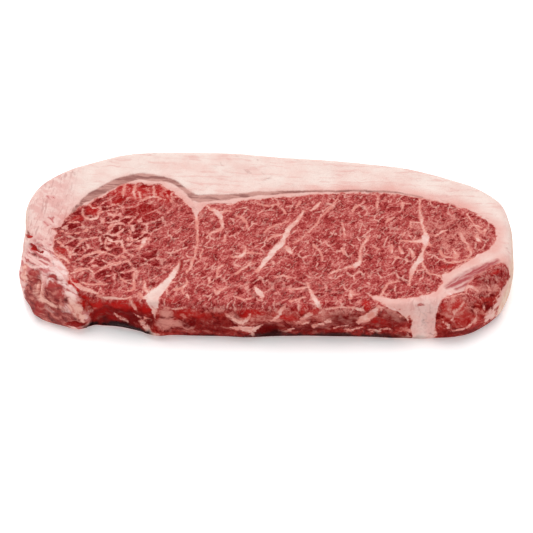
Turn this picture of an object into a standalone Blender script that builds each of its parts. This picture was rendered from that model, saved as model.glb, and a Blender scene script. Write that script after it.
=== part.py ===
"""Raw beef striploin steak, cut across the grain and lying flat on one cut face.

Metres, +Z up. +X runs along the steak to its thin tail end, +Y points to the fat cap,
and the origin is under the middle of the steak, on the surface that it rests on.
The steak is one rounded slab, lofted between unlike sections. Upright cutters in the
outline of each muscle part it into the loin muscle, the tail muscle and the fat that
holds them: the fat cap, the skin of the hip end and the seam between the muscles.
"""

import bmesh
import bpy
import numpy as np

MM = 0.001
LENGTH = 238.3
DEPTH = 106.9
THICKNESS = 24.0
GAP = 0.3

# The plan was laid out from a point near the steak's middle; this is the box's middle there.
PLAN_MIDDLE = (0.01, 2.26)

# Stations along the length, and rows round each section.
STATIONS = 78
TOP_ROWS = 10
SHOULDER_ROWS = 5
FOOT_ROWS = 3
BASE_ROWS = 6
FOOT_SQUARENESS = 2.0

# The rim, right end first and anticlockwise from above: x and y of its widest line, how far the
# cut face stops inside it, how far the foot does, the widest line's height, and how
# square the shoulder is (2 is an ellipse).
RIM = [
    (118.9, -4.0, 6.0, 4.0, 12.0, 2.2),
    (118.8, 8.3, 6.0, 4.0, 13.0, 2.2),
    (115.5, 19.7, 6.0, 4.0, 14.0, 2.2),
    (106.1, 29.1, 6.0, 4.0, 14.0, 2.2),
    (91.5, 36.4, 6.0, 4.0, 14.0, 2.2),
    (74.0, 43.0, 6.0, 4.0, 14.0, 2.2),
    (52.0, 47.4, 6.0, 4.0, 14.0, 2.2),
    (28.0, 50.1, 6.0, 4.0, 14.0, 2.2),
    (2.0, 52.9, 6.0, 4.0, 14.0, 2.2),
    (-24.0, 55.2, 6.0, 4.0, 14.0, 2.2),
    (-48.0, 55.6, 6.0, 4.0, 14.0, 2.2),
    (-70.0, 53.9, 6.0, 4.0, 14.0, 2.2),
    (-88.0, 48.2, 6.0, 4.0, 14.0, 2.2),
    (-102.0, 41.2, 6.0, 4.0, 14.0, 2.2),
    (-112.6, 32.2, 6.0, 4.0, 14.0, 2.2),
    (-118.0, 19.4, 6.0, 4.0, 13.0, 2.2),
    (-117.8, 7.0, 7.0, 4.0, 11.0, 2.0),
    (-119.0, -5.0, 12.0, 4.0, 8.0, 1.7),
    (-118.9, -16.0, 15.0, 3.4, 7.0, 1.6),
    (-115.2, -27.0, 15.0, 2.6, 7.0, 1.6),
    (-108.8, -36.6, 14.6, 1.6, 6.0, 1.7),
    (-98.7, -41.4, 11.6, 1.6, 6.5, 2.0),
    (-88.0, -43.4, 7.0, 2.2, 8.0, 2.2),
    (-73.0, -44.6, 3.5, 4.6, 12.0, 2.4),
    (-52.0, -48.1, 4.0, 3.4, 10.0, 2.4),
    (-24.0, -49.6, 4.0, 3.4, 10.0, 2.4),
    (8.0, -50.2, 4.0, 3.8, 11.0, 2.4),
    (40.0, -50.4, 4.0, 4.0, 11.0, 2.4),
    (66.0, -50.4, 5.0, 2.7, 9.0, 2.4),
    (88.0, -50.0, 9.0, 3.4, 9.0, 2.2),
    (101.5, -45.0, 12.0, 3.3, 9.0, 2.0),
    (111.7, -35.6, 11.0, 3.3, 9.0, 2.0),
    (117.6, -20.3, 8.0, 3.5, 10.0, 2.2),
]

# Lumps and hollows of the side: centre x, y and z, reach along x, y and z, and how far
# the middle stands out. The first three are the hip end's lobe, flap and fold.
FORMS = [
    (-104.0, -31.0, 13.0, 9.0, 9.0, 9.0, 1.6),
    (-89.5, -42.0, 9.0, 5.0, 9.0, 11.0, 2.0),
    (-82.0, -44.0, 10.0, 3.5, 9.0, 14.0, -2.0),
    (-52.0, -49.0, 3.0, 7.0, 8.0, 6.0, 1.2),
    (-8.0, -51.0, 5.0, 9.0, 8.0, 8.0, 0.9),
    (17.0, -50.0, 8.0, 12.0, 8.0, 9.0, -0.7),
    (59.0, -50.0, 13.0, 8.0, 8.0, 8.0, 1.0),
    (73.0, -51.0, 6.0, 5.0, 8.0, 10.0, 0.6),
    (89.0, -49.0, 12.0, 8.0, 9.0, 9.0, 1.0),
    (-114.0, -9.0, 15.0, 9.0, 5.0, 7.0, -1.0),
]
WAVE_HEIGHT = 0.35
WAVE_LENGTHS = (46.0, 31.0)

# The loin muscle's edge, from where it leaves the front by the hip flap, round the back
# and in to the leg of the seam fat.
LOIN_EDGE = [
    (-84.0, -50.0), (-85.0, -43.0), (-88.5, -38.5), (-91.5, -33.5), (-93.0, -28.5),
    (-95.5, -23.5), (-99.5, -18.5), (-101.0, -8.5), (-100.5, -0.5), (-97.3, 7.3),
    (-90.4, 14.3), (-84.2, 19.4), (-77.9, 23.7), (-72.4, 28.2), (-66.0, 30.2),
    (-57.6, 29.9), (-51.0, 28.0), (-45.0, 23.2), (-39.0, 16.8), (-35.6, 11.2),
    (-33.6, 8.6), (-31.8, 11.8), (-28.5, 15.4), (-22.4, 16.0), (-10.0, 18.0),
    (0.0, 19.8), (20.0, 22.2), (40.0, 23.3), (60.0, 22.9), (75.0, 20.2),
    (90.0, 16.0), (100.0, 10.8), (107.6, 3.0), (109.8, -4.0), (106.6, -11.5),
    (100.0, -16.3), (90.0, -24.5), (82.6, -29.6), (81.2, -35.6), (76.0, -40.9),
    (66.0, -43.8), (56.0, -43.4), (49.0, -41.6), (48.2, -43.6), (52.2, -46.2),
    (58.2, -48.2), (64.0, -49.6), (66.8, -52.0), (67.6, -56.0),
]
# The tail muscle's edge, from the leg of the seam fat round to the outer strip of fat.
TAIL_EDGE = [
    (77.5, -56.0), (78.6, -50.0), (81.0, -45.0), (86.5, -41.6), (91.5, -39.0),
    (95.0, -33.4), (101.0, -27.6), (107.0, -23.4), (111.8, -22.0), (114.0, -24.6),
    (112.2, -30.4), (108.9, -36.8), (105.0, -41.4), (101.8, -44.4), (100.2, -48.0), (99.8, -54.0),
]
FRONT_OUTSIDE = -70.0
CUTTER_LOW = -5.0
CUTTER_HIGH = 30.0

LEAN_RED = (0.43, 0.105, 0.090)
TAIL_RED = (0.36, 0.075, 0.065)
FAT_CREAM = (0.92, 0.70, 0.62)


def clear_scene():
    for item in list(bpy.data.objects):
        bpy.data.objects.remove(item, do_unlink=True)


def collection(name):
    group = bpy.data.collections.new(name)
    bpy.context.scene.collection.children.link(group)
    return group


def through_points(points, steps, closed):
    """A smooth Catmull-Rom curve through the points, with so many steps between each two."""
    points = np.asarray(points, float)
    count = len(points)
    spans = count if closed else count - 1
    position = np.linspace(0, spans, spans * steps, endpoint=False)
    if not closed:
        position = np.append(position, spans - 1e-9)
    start = np.floor(position).astype(int)
    t = (position - start)[:, None]
    index = [start + shift for shift in (-1, 0, 1, 2)]
    index = [i % count if closed else np.clip(i, 0, count - 1) for i in index]
    a, b, c, d = (points[i] for i in index)
    return 0.5 * (
        2 * b + (c - a) * t + (2 * a - 5 * b + 4 * c - d) * t**2
        + (3 * b - a - 3 * c + d) * t**3
    )


def spaced(curve, count):
    """Points at equal steps along a curve, measured in plan."""
    along = np.append(0, np.cumsum(np.linalg.norm(np.diff(curve[:, :2], axis=0), axis=1)))
    wanted = np.linspace(0, along[-1], count)
    return np.stack([np.interp(wanted, along, column) for column in curve.T], axis=1)


def rim_columns():
    """Rim values at each station: the back half from right to left, then the front half."""
    curve = through_points(RIM, 200, closed=True)
    curve = np.roll(curve, -int(np.argmax(curve[:, 0])), axis=0)
    left = int(np.argmin(curve[:, 0]))
    back = spaced(curve[: left + 1], STATIONS + 1)
    front = spaced(np.vstack([curve[left:], curve[:1]]), STATIONS + 1)
    return np.vstack([back[:-1], front[:-1]])


def outward(plan):
    """Unit normals of a closed anticlockwise outline."""
    along = np.roll(plan, -1, axis=0) - np.roll(plan, 1, axis=0)
    normal = np.stack([along[:, 1], -along[:, 0]], axis=1)
    return normal / np.linalg.norm(normal, axis=1)[:, None]


def side_profile(columns):
    """The side at each column, cut face to foot: a rounded shoulder over a rounded foot."""
    normal = outward(columns[:, :2])
    inset, foot, widest, square = (columns[:, [k]] for k in (2, 3, 4, 5))
    turn = np.linspace(np.pi / 2, 0, SHOULDER_ROWS + 1)[None]
    shoulder_out = -inset * (1 - np.cos(turn) ** (2 / square))
    shoulder_z = widest + (THICKNESS - widest) * np.sin(turn) ** (2 / square)
    turn = np.linspace(0, np.pi / 2, FOOT_ROWS + 1)[None, 1:]
    foot_out = -foot * (1 - np.cos(turn) ** (2 / FOOT_SQUARENESS))
    foot_z = widest * (1 - np.sin(turn) ** (2 / FOOT_SQUARENESS))
    out = np.hstack([shoulder_out, foot_out])
    plan = columns[:, None, :2] + normal[:, None] * out[..., None]
    return np.dstack([plan, np.hstack([shoulder_z, foot_z])])


def strips(start, end, rows):
    """Rows between two edges, without the edges themselves."""
    share = (np.arange(1, rows) / rows)[None, :, None]
    return start[:, None] * (1 - share) + end[:, None] * share


def slab_grid():
    """Closed sections along the length: cut face, front side, base and back side."""
    side = side_profile(rim_columns())
    station = np.arange(STATIONS + 1)
    back = side[station]
    front = side[(2 * STATIONS - station) % (2 * STATIONS)]
    top = strips(back[:, 0], front[:, 0], TOP_ROWS)
    base = strips(front[:, -1], back[:, -1], BASE_ROWS)
    return np.hstack([top, front, base, back[:, ::-1]])


def raise_forms(points):
    """Moves the side's points out by each lump, as a bell curve of the distance to it."""
    middle = np.array([0.0, 0.0, THICKNESS / 2])
    away = points - middle
    away[:, 0] *= DEPTH / LENGTH
    away[:, 2] *= 0.5
    away /= np.linalg.norm(away, axis=1)[:, None]
    moved = points.copy()
    for x, y, z, reach_x, reach_y, reach_z, height in FORMS:
        gap = (points - (x, y, z)) / (reach_x, reach_y, reach_z)
        moved += away * (height * np.exp(-(gap**2).sum(axis=1)))[:, None]
    long_wave, cross_wave = WAVE_LENGTHS
    wave = np.sin(points[:, 0] * 2 * np.pi / long_wave + 0.6)
    wave *= np.cos(points[:, 1] * 2 * np.pi / cross_wave)
    moved[:, 2] += WAVE_HEIGHT * wave * np.clip(points[:, 2] / THICKNESS, 0, 1) ** 4
    moved[:, 2] = np.where(points[:, 2] < 1e-6, 0.0, np.maximum(moved[:, 2], 0.02))
    return moved


def slab_mesh():
    """The whole steak as one closed mesh; at its two ends the sections close to a line."""
    grid = slab_grid()
    stations, rows = grid.shape[:2]
    points = raise_forms(grid.reshape(-1, 3))
    points[:, :2] -= PLAN_MIDDLE
    number = np.arange(stations * rows).reshape(stations, rows)
    after = np.roll(number, -1, axis=1)
    quads = np.stack([number[:-1], after[:-1], after[1:], number[1:]], axis=-1).reshape(-1, 4)
    _, first, same = np.unique(
        np.round(points, 4), axis=0, return_index=True, return_inverse=True
    )
    same = same.reshape(-1)
    faces = []
    for quad in same[quads]:
        corners = [int(v) for k, v in enumerate(quad) if v != quad[k - 1]]
        if len(set(corners)) > 2:
            faces.append(corners)
    mesh = bpy.data.meshes.new("steak_slab")
    mesh.from_pydata([tuple(p) for p in points[first] * MM], [], faces)
    mesh.validate()
    return mesh


def grown(outline, distance):
    """The outline with every point moved out by a distance."""
    return outline + outward(outline) * distance


def muscle_outline(edge):
    """A muscle's edge as a smooth curve, closed in front of the steak, anticlockwise."""
    curve = through_points(edge, 3, closed=False)
    corners = [(curve[-1, 0], FRONT_OUTSIDE), (curve[0, 0], FRONT_OUTSIDE)]
    outline = np.vstack([curve, corners])
    following = np.roll(outline, -1, axis=0)
    area = (outline[:, 0] * following[:, 1] - following[:, 0] * outline[:, 1]).sum()
    return outline if area > 0 else outline[::-1]


def upright_cutter(name, outline, group):
    """An upright prism of a plan outline: a filled flat curve, extruded and made a mesh."""
    flat = bpy.data.curves.new(name + "_outline", "CURVE")
    flat.dimensions = "2D"
    flat.fill_mode = "BOTH"
    flat.extrude = (CUTTER_HIGH - CUTTER_LOW) / 2 * MM
    line = flat.splines.new("POLY")
    line.points.add(len(outline) - 1)
    for point, (x, y) in zip(line.points, outline):
        point.co = ((x - PLAN_MIDDLE[0]) * MM, (y - PLAN_MIDDLE[1]) * MM, 0.0, 1.0)
    line.use_cyclic_u = True
    guide = bpy.data.objects.new(name + "_outline", flat)
    bpy.context.scene.collection.objects.link(guide)
    bpy.context.view_layer.update()
    graph = bpy.context.evaluated_depsgraph_get()
    mesh = bpy.data.meshes.new_from_object(guide.evaluated_get(graph))
    bpy.data.objects.remove(guide, do_unlink=True)
    weld(mesh)
    cutter = bpy.data.objects.new(name, mesh)
    cutter.location.z = (CUTTER_HIGH + CUTTER_LOW) / 2 * MM
    cutter.hide_render = True
    cutter.display_type = "WIRE"
    group.objects.link(cutter)
    return cutter


def weld(mesh):
    shape = bmesh.new()
    shape.from_mesh(mesh)
    bmesh.ops.remove_doubles(shape, verts=shape.verts, dist=0.00001)
    bmesh.ops.recalc_face_normals(shape, faces=shape.faces)
    shape.to_mesh(mesh)
    shape.free()


def flesh(name, colour, roughness):
    material = bpy.data.materials.new(name)
    material.use_nodes = True
    shader = material.node_tree.nodes["Principled BSDF"]
    shader.inputs["Base Color"].default_value = (*colour, 1.0)
    shader.inputs["Roughness"].default_value = roughness
    shader.inputs["Metallic"].default_value = 0.0
    return material


def piece(name, slab, cuts, material, group):
    """A copy of the slab, with each cutter applied as a Boolean."""
    mesh = slab.copy()
    mesh.name = name
    mesh.materials.append(material)
    mesh.shade_smooth()
    mesh.set_sharp_from_angle(angle=np.radians(50))
    item = bpy.data.objects.new(name, mesh)
    group.objects.link(item)
    for cutter, operation in cuts:
        cut = item.modifiers.new(operation.lower() + "_" + cutter.name, "BOOLEAN")
        cut.operation = operation
        cut.solver = "EXACT"
        cut.object = cutter
    return item


def build():
    clear_scene()
    steak = collection("beef_striploin")
    cutters = collection("cutters")
    slab = slab_mesh()
    shapes = {"loin": muscle_outline(LOIN_EDGE), "tail": muscle_outline(TAIL_EDGE)}
    keep = {}
    clear = {}
    for name, outline in shapes.items():
        keep[name] = upright_cutter(name + "_keep", grown(outline, -GAP / 2), cutters)
        clear[name] = upright_cutter(name + "_clear", grown(outline, GAP / 2), cutters)
    lean = flesh("lean_beef", LEAN_RED, 0.42)
    tail = flesh("tail_lean_beef", TAIL_RED, 0.42)
    fat = flesh("beef_fat", FAT_CREAM, 0.5)
    piece("loin_muscle", slab, [(keep["loin"], "INTERSECT")], lean, steak)
    piece("tail_muscle", slab, [(keep["tail"], "INTERSECT")], tail, steak)
    cuts = [(clear["loin"], "DIFFERENCE"), (clear["tail"], "DIFFERENCE")]
    piece("fat_cap", slab, cuts, fat, steak)


build()
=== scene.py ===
# %% [markdown]
# A raw striploin steak lies flat on one cut face. This notebook dresses its CAD frame: three
# solids in one body, the loin muscle, the tail muscle and the fat that holds them.

# %% Load the frame
from functools import reduce

import bpy
import numpy as np
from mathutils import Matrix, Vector


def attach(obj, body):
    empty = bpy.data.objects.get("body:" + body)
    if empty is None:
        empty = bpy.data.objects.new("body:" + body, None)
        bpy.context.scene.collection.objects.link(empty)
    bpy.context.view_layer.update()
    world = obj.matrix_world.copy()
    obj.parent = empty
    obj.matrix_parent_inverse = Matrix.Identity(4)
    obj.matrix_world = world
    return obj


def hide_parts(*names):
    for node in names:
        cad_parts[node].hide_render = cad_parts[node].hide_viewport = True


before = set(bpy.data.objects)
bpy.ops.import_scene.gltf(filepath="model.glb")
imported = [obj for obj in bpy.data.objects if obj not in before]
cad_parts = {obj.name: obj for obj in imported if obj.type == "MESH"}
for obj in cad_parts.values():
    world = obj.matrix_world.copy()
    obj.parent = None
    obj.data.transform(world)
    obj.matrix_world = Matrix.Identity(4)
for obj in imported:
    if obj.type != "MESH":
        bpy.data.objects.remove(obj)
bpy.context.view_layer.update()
MM = 0.001
print("CAD nodes:", sorted(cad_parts))

# %% [markdown]
# Every measure below is in millimetres on the plan of the upper cut face, laid out from the
# point that the photograph's camera looks at. The box's middle is a little off that point, and
# the finished points are moved by the difference. The camera stands 48 degrees above the table.

# %% Driving measures and the photograph's camera
THICKNESS = 24.0
LENGTH = 238.3
DEPTH = 106.9
PLAN_MIDDLE = np.array([0.01, 2.26, 0.0])
CAMERA_RISE = np.radians(48.0)
CAMERA_AWAY = 750.0
IMAGE_SIDE = 533
FOCAL_PIXELS = 1543.75
AIM_PIXEL_ROW = 245.0
look = np.array([0.0, np.cos(CAMERA_RISE), -np.sin(CAMERA_RISE)])
camera_at = np.array([0.0, 0.0, THICKNESS / 2]) - look * CAMERA_AWAY
print("camera stands at", camera_at.round(1), "mm on the plan")

# %% [markdown]
# An outline or a vein needs few points if a smooth curve joins them. The curve used here goes
# through every one of its points, so they can be read straight off the plan.

# %% Smooth curves


def through_points(points, steps, closed):
    """A smooth curve: each span is a cubic that leaves and meets its two end points along the
    line between their neighbours. It gives so many points for each span."""
    points = np.asarray(points, float)
    count = len(points)
    spans = count if closed else count - 1
    position = np.linspace(0, spans, spans * steps, endpoint=False)
    if not closed:
        position = np.append(position, spans - 1e-9)
    start = np.floor(position).astype(int)
    t = (position - start)[:, None]
    index = [start + shift for shift in (-1, 0, 1, 2)]
    index = [i % count if closed else np.clip(i, 0, count - 1) for i in index]
    a, b, c, d = (points[i] for i in index)
    return 0.5 * (
        2 * b + (c - a) * t + (2 * a - 5 * b + 4 * c - d) * t**2
        + (3 * b - a - 3 * c + d) * t**3
    )


def spaced(curve, count):
    """Points at equal steps along a curve: each column read at equal shares of plan length."""
    along = np.append(0, np.cumsum(np.linalg.norm(np.diff(curve[:, :2], axis=0), axis=1)))
    wanted = np.linspace(0, along[-1], count)
    return np.stack([np.interp(wanted, along, column) for column in curve.T], axis=1)


def outward(plan):
    """Unit normals of a closed anticlockwise outline: each chord between a point's two
    neighbours, turned a quarter turn clockwise."""
    along = np.roll(plan, -1, axis=0) - np.roll(plan, 1, axis=0)
    normal = np.stack([along[:, 1], -along[:, 0]], axis=1)
    return normal / np.linalg.norm(normal, axis=1)[:, None]


# %% [markdown]
# The whole steak is one rounded slab. Its rim is a closed curve that also carries how far the
# cut face stops inside it, how far the foot does, how high the widest line is and how square
# the shoulder is, so the slanted hip end and the upright front come from one formula.

# %% The rim
RIM = [
    (118.9, -4, 6, 4, 12, 2.2), (118.8, 8.3, 6, 4, 13, 2.2), (115.5, 19.7, 6, 4, 14, 2.2),
    (106.1, 29.1, 6, 4, 14, 2.2), (91.5, 36.4, 6, 4, 14, 2.2), (74, 43, 6, 4, 14, 2.2),
    (52, 47.4, 6, 4, 14, 2.2), (28, 50.1, 6, 4, 14, 2.2), (2, 52.9, 6, 4, 14, 2.2),
    (-24, 55.2, 6, 4, 14, 2.2), (-48, 55.6, 6, 4, 14, 2.2), (-70, 53.9, 6, 4, 14, 2.2),
    (-88, 48.2, 6, 4, 14, 2.2), (-102, 41.2, 6, 4, 14, 2.2), (-112.6, 32.2, 6, 4, 14, 2.2),
    (-118, 19.4, 6, 4, 13, 2.2), (-117.8, 7, 7, 4, 11, 2), (-119, -5, 12, 4, 8, 1.7),
    (-118.9, -16, 15, 3.4, 7, 1.6), (-115.2, -27, 15, 2.6, 7, 1.6), (-108.8, -36.6, 14.6, 1.6, 6, 1.7),
    (-98.7, -41.4, 11.6, 1.6, 6.5, 2), (-88, -43.4, 7, 2.2, 8, 2.2), (-73, -44.6, 3.5, 4.6, 12, 2.4),
    (-52, -48.1, 4, 3.4, 10, 2.4), (-24, -49.6, 4, 3.4, 10, 2.4), (8, -50.2, 4, 3.8, 11, 2.4),
    (40, -50.4, 4, 4, 11, 2.4), (66, -50.4, 5, 2.7, 9, 2.4), (88, -50, 9, 3.4, 9, 2.2),
    (101.5, -45, 12, 3.3, 9, 2), (111.7, -35.6, 11, 3.3, 9, 2), (117.6, -20.3, 8, 3.5, 10, 2.2),
]
STATIONS = 560
TOP_ROWS = 190
SHOULDER_ROWS = 26
FOOT_ROWS = 12
BASE_ROWS = 24
FOOT_SQUARENESS = 2.0


def rim_columns():
    """The rim's values at each station: equal steps round the back, then round the front."""
    curve = through_points(RIM, 200, closed=True)
    curve = np.roll(curve, -int(np.argmax(curve[:, 0])), axis=0)
    left = int(np.argmin(curve[:, 0]))
    back = spaced(curve[: left + 1], STATIONS + 1)
    front = spaced(np.vstack([curve[left:], curve[:1]]), STATIONS + 1)
    return np.vstack([back[:-1], front[:-1]])


def side_profile(columns):
    """The side at each column: from the cut face down, a quarter superellipse to the widest
    line, then a quarter ellipse in to the foot."""
    normal = outward(columns[:, :2])
    inset, foot, widest, square = (columns[:, [k]] for k in (2, 3, 4, 5))
    turn = np.linspace(np.pi / 2, 0, SHOULDER_ROWS + 1)[None]
    shoulder_out = -inset * (1 - np.cos(turn) ** (2 / square))
    shoulder_z = widest + (THICKNESS - widest) * np.sin(turn) ** (2 / square)
    turn = np.linspace(0, np.pi / 2, FOOT_ROWS + 1)[None, 1:]
    foot_out = -foot * (1 - np.cos(turn) ** (2 / FOOT_SQUARENESS))
    foot_z = widest * (1 - np.sin(turn) ** (2 / FOOT_SQUARENESS))
    out = np.hstack([shoulder_out, foot_out])
    plan = columns[:, None, :2] + normal[:, None] * out[..., None]
    return np.dstack([plan, np.hstack([shoulder_z, foot_z])])


def strips(start, end, rows):
    """Rows between two edges: the straight line from one to the other, in equal shares."""
    share = (np.arange(1, rows) / rows)[None, :, None]
    return start[:, None] * (1 - share) + end[:, None] * share


def slab_grid():
    """Closed sections along the length: cut face, front side, base and back side."""
    side = side_profile(rim_columns())
    station = np.arange(STATIONS + 1)
    back = side[station]
    front = side[(2 * STATIONS - station) % (2 * STATIONS)]
    top = strips(back[:, 0], front[:, 0], TOP_ROWS)
    base = strips(front[:, -1], back[:, -1], BASE_ROWS)
    return np.hstack([top, front, base, back[:, ::-1]])


grid = slab_grid()
print("slab grid:", grid.shape[0], "stations of", grid.shape[1], "points")

# %% [markdown]
# Meat is never flat: the hip end has a round lobe, a flap and a fold beside it, and the front
# sags and bulges. Each is a bell-shaped push away from the middle, the same as in the frame.

# %% Lumps, hollows and waves
FORMS = [
    (-104, -31, 13, 9, 9, 9, 1.6), (-89.5, -42, 9, 5, 9, 11, 2), (-82, -44, 10, 3.5, 9, 14, -2),
    (-52, -49, 3, 7, 8, 6, 1.2), (-8, -51, 5, 9, 8, 8, 0.9), (17, -50, 8, 12, 8, 9, -0.7),
    (59, -50, 13, 8, 8, 8, 1), (73, -51, 6, 5, 8, 10, 0.6), (89, -49, 12, 8, 9, 9, 1),
    (-114, -9, 15, 9, 5, 7, -1),
]
WAVE_HEIGHT = 0.35
WAVE_LENGTHS = (46.0, 31.0)


def raise_forms(points):
    """Adds, for each lump, its height times a bell curve of the distance to its middle, along
    the direction away from the steak's middle, and a slow wave over the cut face."""
    away = points - (0.0, 0.0, THICKNESS / 2)
    away[:, 0] *= DEPTH / LENGTH
    away[:, 2] *= 0.5
    away /= np.linalg.norm(away, axis=1)[:, None]
    moved = points.copy()
    for x, y, z, reach_x, reach_y, reach_z, height in FORMS:
        gap = (points - (x, y, z)) / (reach_x, reach_y, reach_z)
        moved += away * (height * np.exp(-(gap**2).sum(axis=1)))[:, None]
    long_wave, cross_wave = WAVE_LENGTHS
    wave = np.sin(points[:, 0] * 2 * np.pi / long_wave + 0.6)
    wave *= np.cos(points[:, 1] * 2 * np.pi / cross_wave)
    moved[:, 2] += WAVE_HEIGHT * wave * np.clip(points[:, 2] / THICKNESS, 0, 1) ** 4
    moved[:, 2] = np.where(points[:, 2] < 1e-6, 0.0, np.maximum(moved[:, 2], 0.02))
    return moved


# %% [markdown]
# A closed grid becomes a mesh by numbering its points. At the two ends each section shrinks to
# a line, so points that fall together are made one and the faces that collapse are dropped.

# %% Mesh helpers


def mesh_of(name, points, quads):
    """A mesh from points in millimetres and quads, with coinciding points made one."""
    _, first, same = np.unique(
        np.round(points, 4), axis=0, return_index=True, return_inverse=True
    )
    quads = same.reshape(-1)[quads]
    repeated = (quads == np.roll(quads, 1, axis=1)).sum(axis=1)
    mesh = bpy.data.meshes.new(name)
    whole = quads[repeated == 0].tolist()
    ends = [list(dict.fromkeys(q)) for q in quads[repeated == 1].tolist()]
    mesh.from_pydata((points[first] * MM).tolist(), [], whole + [q for q in ends if len(q) == 3])
    mesh.validate()
    return mesh


def loop_quads(stations, rows):
    """Quads of a grid whose rows close round each station."""
    number = np.arange(stations * rows).reshape(stations, rows)
    after = np.roll(number, -1, axis=1)
    return np.stack([number[:-1], after[:-1], after[1:], number[1:]], axis=-1).reshape(-1, 4)


def add_object(name, data):
    item = bpy.data.objects.new(name, data)
    bpy.context.scene.collection.objects.link(item)
    return item


slab_points = raise_forms(grid.reshape(-1, 3))
slab = add_object("slab", mesh_of("slab", slab_points, loop_quads(*grid.shape[:2])))
print("slab:", len(slab.data.vertices), "vertices")

# %% [markdown]
# Nature's edges wander. Value noise gives each corner of a lattice a seeded random value and
# blends the eight round a point with an S-shaped ease, so it is smooth and always the same.
# Each use starts at a seed of its own.

# %% Smooth noise
LATTICE = 64
SEEDS = {"edge": 20, "ragged": 30, "top": 40, "fat": 50, "side": 60, "wrinkle": 70, "vein": 80,
         "patch": 90}


def lattice_noise(points, size, seed):
    """Random values from -1 to 1 on a lattice of this size, blended between the eight corners
    of each point's cell with the weight 3t^2 - 2t^3 along each axis."""
    table = np.random.default_rng(seed).uniform(-1, 1, (LATTICE,) * 3)
    place = points / size
    corner = np.floor(place).astype(int)
    ease = place - corner
    ease = ease * ease * (3 - 2 * ease)
    total = np.zeros(len(points))
    for shift in np.ndindex(2, 2, 2):
        i, j, k = ((corner + shift) % LATTICE).T
        total += table[i, j, k] * np.where(shift, ease, 1 - ease).prod(axis=1)
    return total


# %% [markdown]
# The lean is parted from the fat along lines read off the photograph. Each outline is pulled
# upright into a wall that sways a little as it goes down, and the leg of fat at the front
# narrows towards the table, so the same two cutters make all three pieces fit edge to edge.

# %% Where lean meets fat
LOIN_EDGE = [
    (-82, -50), (-82.2, -43.5), (-83, -40.6), (-86, -39), (-88.5, -36.6), (-91, -33), (-92.8, -28.5),
    (-95, -23.5), (-99, -19), (-100.8, -13), (-101.4, -8), (-100.4, -2), (-103, 0.2), (-98.6, 1.8),
    (-97, 7.3), (-94.9, 9.4), (-92.4, 12), (-90.4, 14.3), (-87, 16.2), (-84.2, 19.2), (-80.3, 21.4),
    (-77.9, 23.9), (-74.2, 26.4), (-72.4, 28.6), (-69, 30.2), (-66, 29.6), (-63, 30.4), (-57.6, 29.6),
    (-53, 30), (-49, 26.8), (-45, 23.4), (-41.2, 19.8), (-37.6, 14.8), (-35.4, 10.4), (-33.8, 7),
    (-32.4, 10.4), (-31.4, 13.6), (-29, 15.9), (-22.4, 15.9), (-16.2, 16.2), (-10, 18.1), (-5, 19),
    (0, 19.8), (10, 20.8), (20, 22.2), (30, 22.9), (40, 23.4), (50, 23.4), (60, 22.9), (68, 22),
    (75, 20.2), (80, 18.4), (90, 16.1), (95.4, 13.6), (100, 10.8), (104.7, 6.5), (108.7, 1.6),
    (109.9, -3), (108.9, -8), (106.3, -12.2), (100, -16.1), (95.4, -20), (90, -24.5), (84.5, -27.9),
    (81.6, -30), (82, -33.5), (80, -37.2), (76, -40.9), (70, -43), (62, -44), (54.8, -43), (50, -41.9),
    (46.6, -40.4), (48.2, -43), (52.4, -46.2), (56.6, -47.8), (60.4, -48.7), (64, -49.3), (66.2, -50.4),
    (67.4, -53), (67.6, -57),
]
TAIL_EDGE = [
    (78.2, -56), (78.4, -51), (80, -46.4), (82.4, -43.4), (87.6, -41.2), (91.6, -39.2), (93.2, -35.6),
    (97.4, -31), (101.6, -27.4), (107, -23.4), (111.4, -21.6), (114.2, -23.4), (112.4, -30),
    (109.1, -36.8), (105.4, -41.6), (102.6, -44.2), (101, -47), (100.6, -54),
]
FRONT_OUTSIDE = -70.0
CUTTER_LEVELS = np.linspace(-5.0, 30.0, 15)
EDGE_STEP = 0.7
EDGE_WANDER = ((6.0, 0.45), (2.0, 0.35), (0.9, 0.12))
LEG_LEAN = 0.3
SWAY_SPEED = 0.35


def ramp(value, low, high):
    """0 below low, 1 above high and a straight rise between."""
    return np.clip((value - low) / (high - low), 0, 1)


def closed_in_front(edge):
    """The smooth edge, closed by two corners in front of the steak, anticlockwise and evenly
    stepped along its smooth part."""
    curve = through_points(edge, 12, closed=False)
    length = np.linalg.norm(np.diff(curve, axis=0), axis=1).sum()
    curve = spaced(curve, int(length / EDGE_STEP))
    outline = np.vstack([curve, [(curve[-1, 0], FRONT_OUTSIDE), (curve[0, 0], FRONT_OUTSIDE)]])
    following = np.roll(outline, -1, axis=0)
    area = (outline[:, 0] * following[:, 1] - following[:, 0] * outline[:, 1]).sum()
    return outline if area > 0 else outline[::-1]


def swayed(outline, level):
    """The outline at one height: each point moved by noise of its place and height, and the
    leg's left edge by a share of its depth under the cut face."""
    at = np.column_stack([outline, np.full(len(outline), SWAY_SPEED * level)])
    inside = (outline[:, 1] > FRONT_OUTSIDE + 1)[:, None]
    moved = outline.copy()
    for k, (size, reach) in enumerate(EDGE_WANDER):
        sway = [lattice_noise(at, size, SEEDS["edge"] + 2 * k + axis) for axis in (0, 1)]
        moved += np.column_stack(sway) * reach * inside
    x, y = outline.T
    leg = ramp(x, 52, 60) * ramp(-y, 44.5, 48.5) * ramp(-x, -74, -70)
    moved[:, 0] += leg * LEG_LEAN * (THICKNESS / 2 - np.clip(level, 0, THICKNESS))
    return moved


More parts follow.
